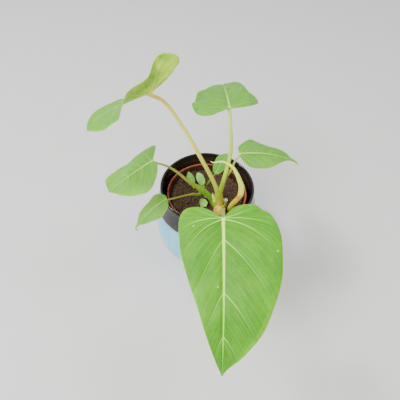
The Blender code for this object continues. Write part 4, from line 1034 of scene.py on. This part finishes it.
# Papery sheaths: flattened tubes with a keel, drying from the knee outwards
sheaths = {
    "curled": dict(path=((35, -26, 79), (36, -29, 97), (40, -34, 115), (45, -37, 131), (45, -38, 149),
                         (41, -38, 163), (36, -37, 175), (31, -35, 183), (24, -32, 187), (16, -29, 187.5),
                         (9, -27, 184), (5, -26, 182), (1, -25, 184)),
                   radii=((0, 4.4), (0.25, 4.2), (0.38, 4.0), (0.5, 3.9), (0.7, 2.6), (0.82, 1.6), (1, 0.5)),
                   flat=0.5, slot="cataphyll",
                   stops=((0.0, (0.95, 0.96, 0.02)), (0.2, (1.0, 0.9, 0.03)), (0.36, (0.74, 0.32, 0.02)),
                          (0.43, (1.0, 0.86, 0.04)), (0.52, (0.86, 1.0, 0.05)), (0.8, (0.82, 1.0, 0.12)),
                          (1.0, (0.9, 0.95, 0.4)))),
    "short": dict(path=((14, -28, 82), (12.5, -25, 89), (10.8, -20, 97.3), (8.8, -17, 104),
                        (7.7, -15, 108.3)),
                  radii=((0, 2.2), (0.4, 2.6), (0.8, 1.8), (1, 0.6)), flat=0.45, slot="cataphyll_green",
                  stops=((0.0, (0.1, 0.26, 0.01)), (0.45, (0.2, 0.42, 0.02)), (0.6, (0.62, 0.8, 0.1)),
                         (1.0, (0.7, 0.86, 0.2)))),
    "golden": dict(path=((4, -3, 79), (4, -6, 87), (-1, -9.5, 91), (-4.5, -8, 93)),
                   radii=((0, 1.6), (0.5, 2.2), (1, 0.6)), flat=0.5, slot="cataphyll",
                   stops=((0.0, (0.45, 0.28, 0.06)), (0.5, (0.62, 0.44, 0.1)), (1.0, (0.5, 0.34, 0.1)))),
}


def sheathRelief(points, along):
    return 0.18 * ripples(points, 4.0)


def makeSheath(key, sheath):
    sheet = tubeSheet(sheath["path"], sheath["radii"], 28, 90, flat=sheath["flat"], groove=0.3,
                      relief=sheathRelief, rounded=(0.0, 0.97))
    material = stemMaterial("sheathSkin_" + key, sheath["stops"], stemMarks["sheathStreak"], 0.3)
    addPiece("sheath_" + key, sheet, [material], ["cataphyll_" + key])


for key, sheath in sheaths.items():
    makeSheath(key, sheath)
print("sheaths made")


# Studio: pale floor, soft light, and the camera at the photograph's angle, in metres
studio = {"floorSize": 40.0, "floor": (0.66, 0.65, 0.64), "floorDrop": 0.0003, "world": 0.8,
          "aim": (0, -0.05, 0.12),
          "lights": (("keyLight", (-0.8, -1.0, 1.6), 0.9, 44.0), ("fillLight", (0.85, 0.2, 1.8), 0.7, 12.0),
                     ("sideLight", (-1.1, 0.35, 1.8), 0.3, 20.0))}


def makeFloor(room):
    sheet = bmesh.new()
    bmesh.ops.create_grid(sheet, x_segments=4, y_segments=4, size=room["floorSize"] / 2)
    mesh = bpy.data.meshes.new("studioFloor")
    sheet.to_mesh(mesh)
    sheet.free()
    recipe = Recipe("floorPaint")
    grain = recipe.noise(recipe.place(), 0.02, 5)
    mesh.materials.append(recipe.finish(recipe.shade(room["floor"], grain * 0.06 + 0.97), grain * 0.1 + 0.6))
    floor = bpy.data.objects.new("studioFloor", mesh)
    floor.location.z = -room["floorDrop"]
    bpy.context.scene.collection.objects.link(floor)


def makeLights(room):
    for name, place, size, power in room["lights"]:
        lamp = bpy.data.lights.new(name, "AREA")
        lamp.shape, lamp.size, lamp.energy = "DISK", size, power
        light = bpy.data.objects.new(name, lamp)
        light.location = place
        light.rotation_euler = (Vector(room["aim"]) - Vector(place)).to_track_quat("-Z", "Y").to_euler()
        bpy.context.scene.collection.objects.link(light)
    world = bpy.data.worlds.new("studioAir")
    world.use_nodes = True
    world.node_tree.nodes["Background"].inputs["Color"].default_value = (1, 1, 1, 1)
    world.node_tree.nodes["Background"].inputs["Strength"].default_value = room["world"]
    bpy.context.scene.world = world


cameraPlace = {"at": (-0.0099, -0.3926, 0.5518), "pitchDown": 50.66, "roll": 2.28,
               "lens": 36.0, "sensor": 36.0}


def makeCamera(view):
    pitch, roll = math.radians(view["pitchDown"]), math.radians(view["roll"])
    ahead = Vector((0, math.cos(pitch), -math.sin(pitch)))
    up, right = Vector((0, math.sin(pitch), math.cos(pitch))), Vector((1, 0, 0))
    across = right * math.cos(roll) + up * math.sin(roll)
    upward = up * math.cos(roll) - right * math.sin(roll)
    lens = bpy.data.cameras.new("photoCamera")
    lens.lens, lens.sensor_width, lens.clip_start = view["lens"], view["sensor"], 0.01
    camera = bpy.data.objects.new("photoCamera", lens)
    turn = Matrix((across, upward, -ahead)).transposed().to_4x4()
    camera.matrix_world = Matrix.Translation(view["at"]) @ turn
    bpy.context.scene.collection.objects.link(camera)
    bpy.context.scene.camera = camera


makeFloor(studio)
makeLights(studio)
makeCamera(cameraPlace)
print("studio made")
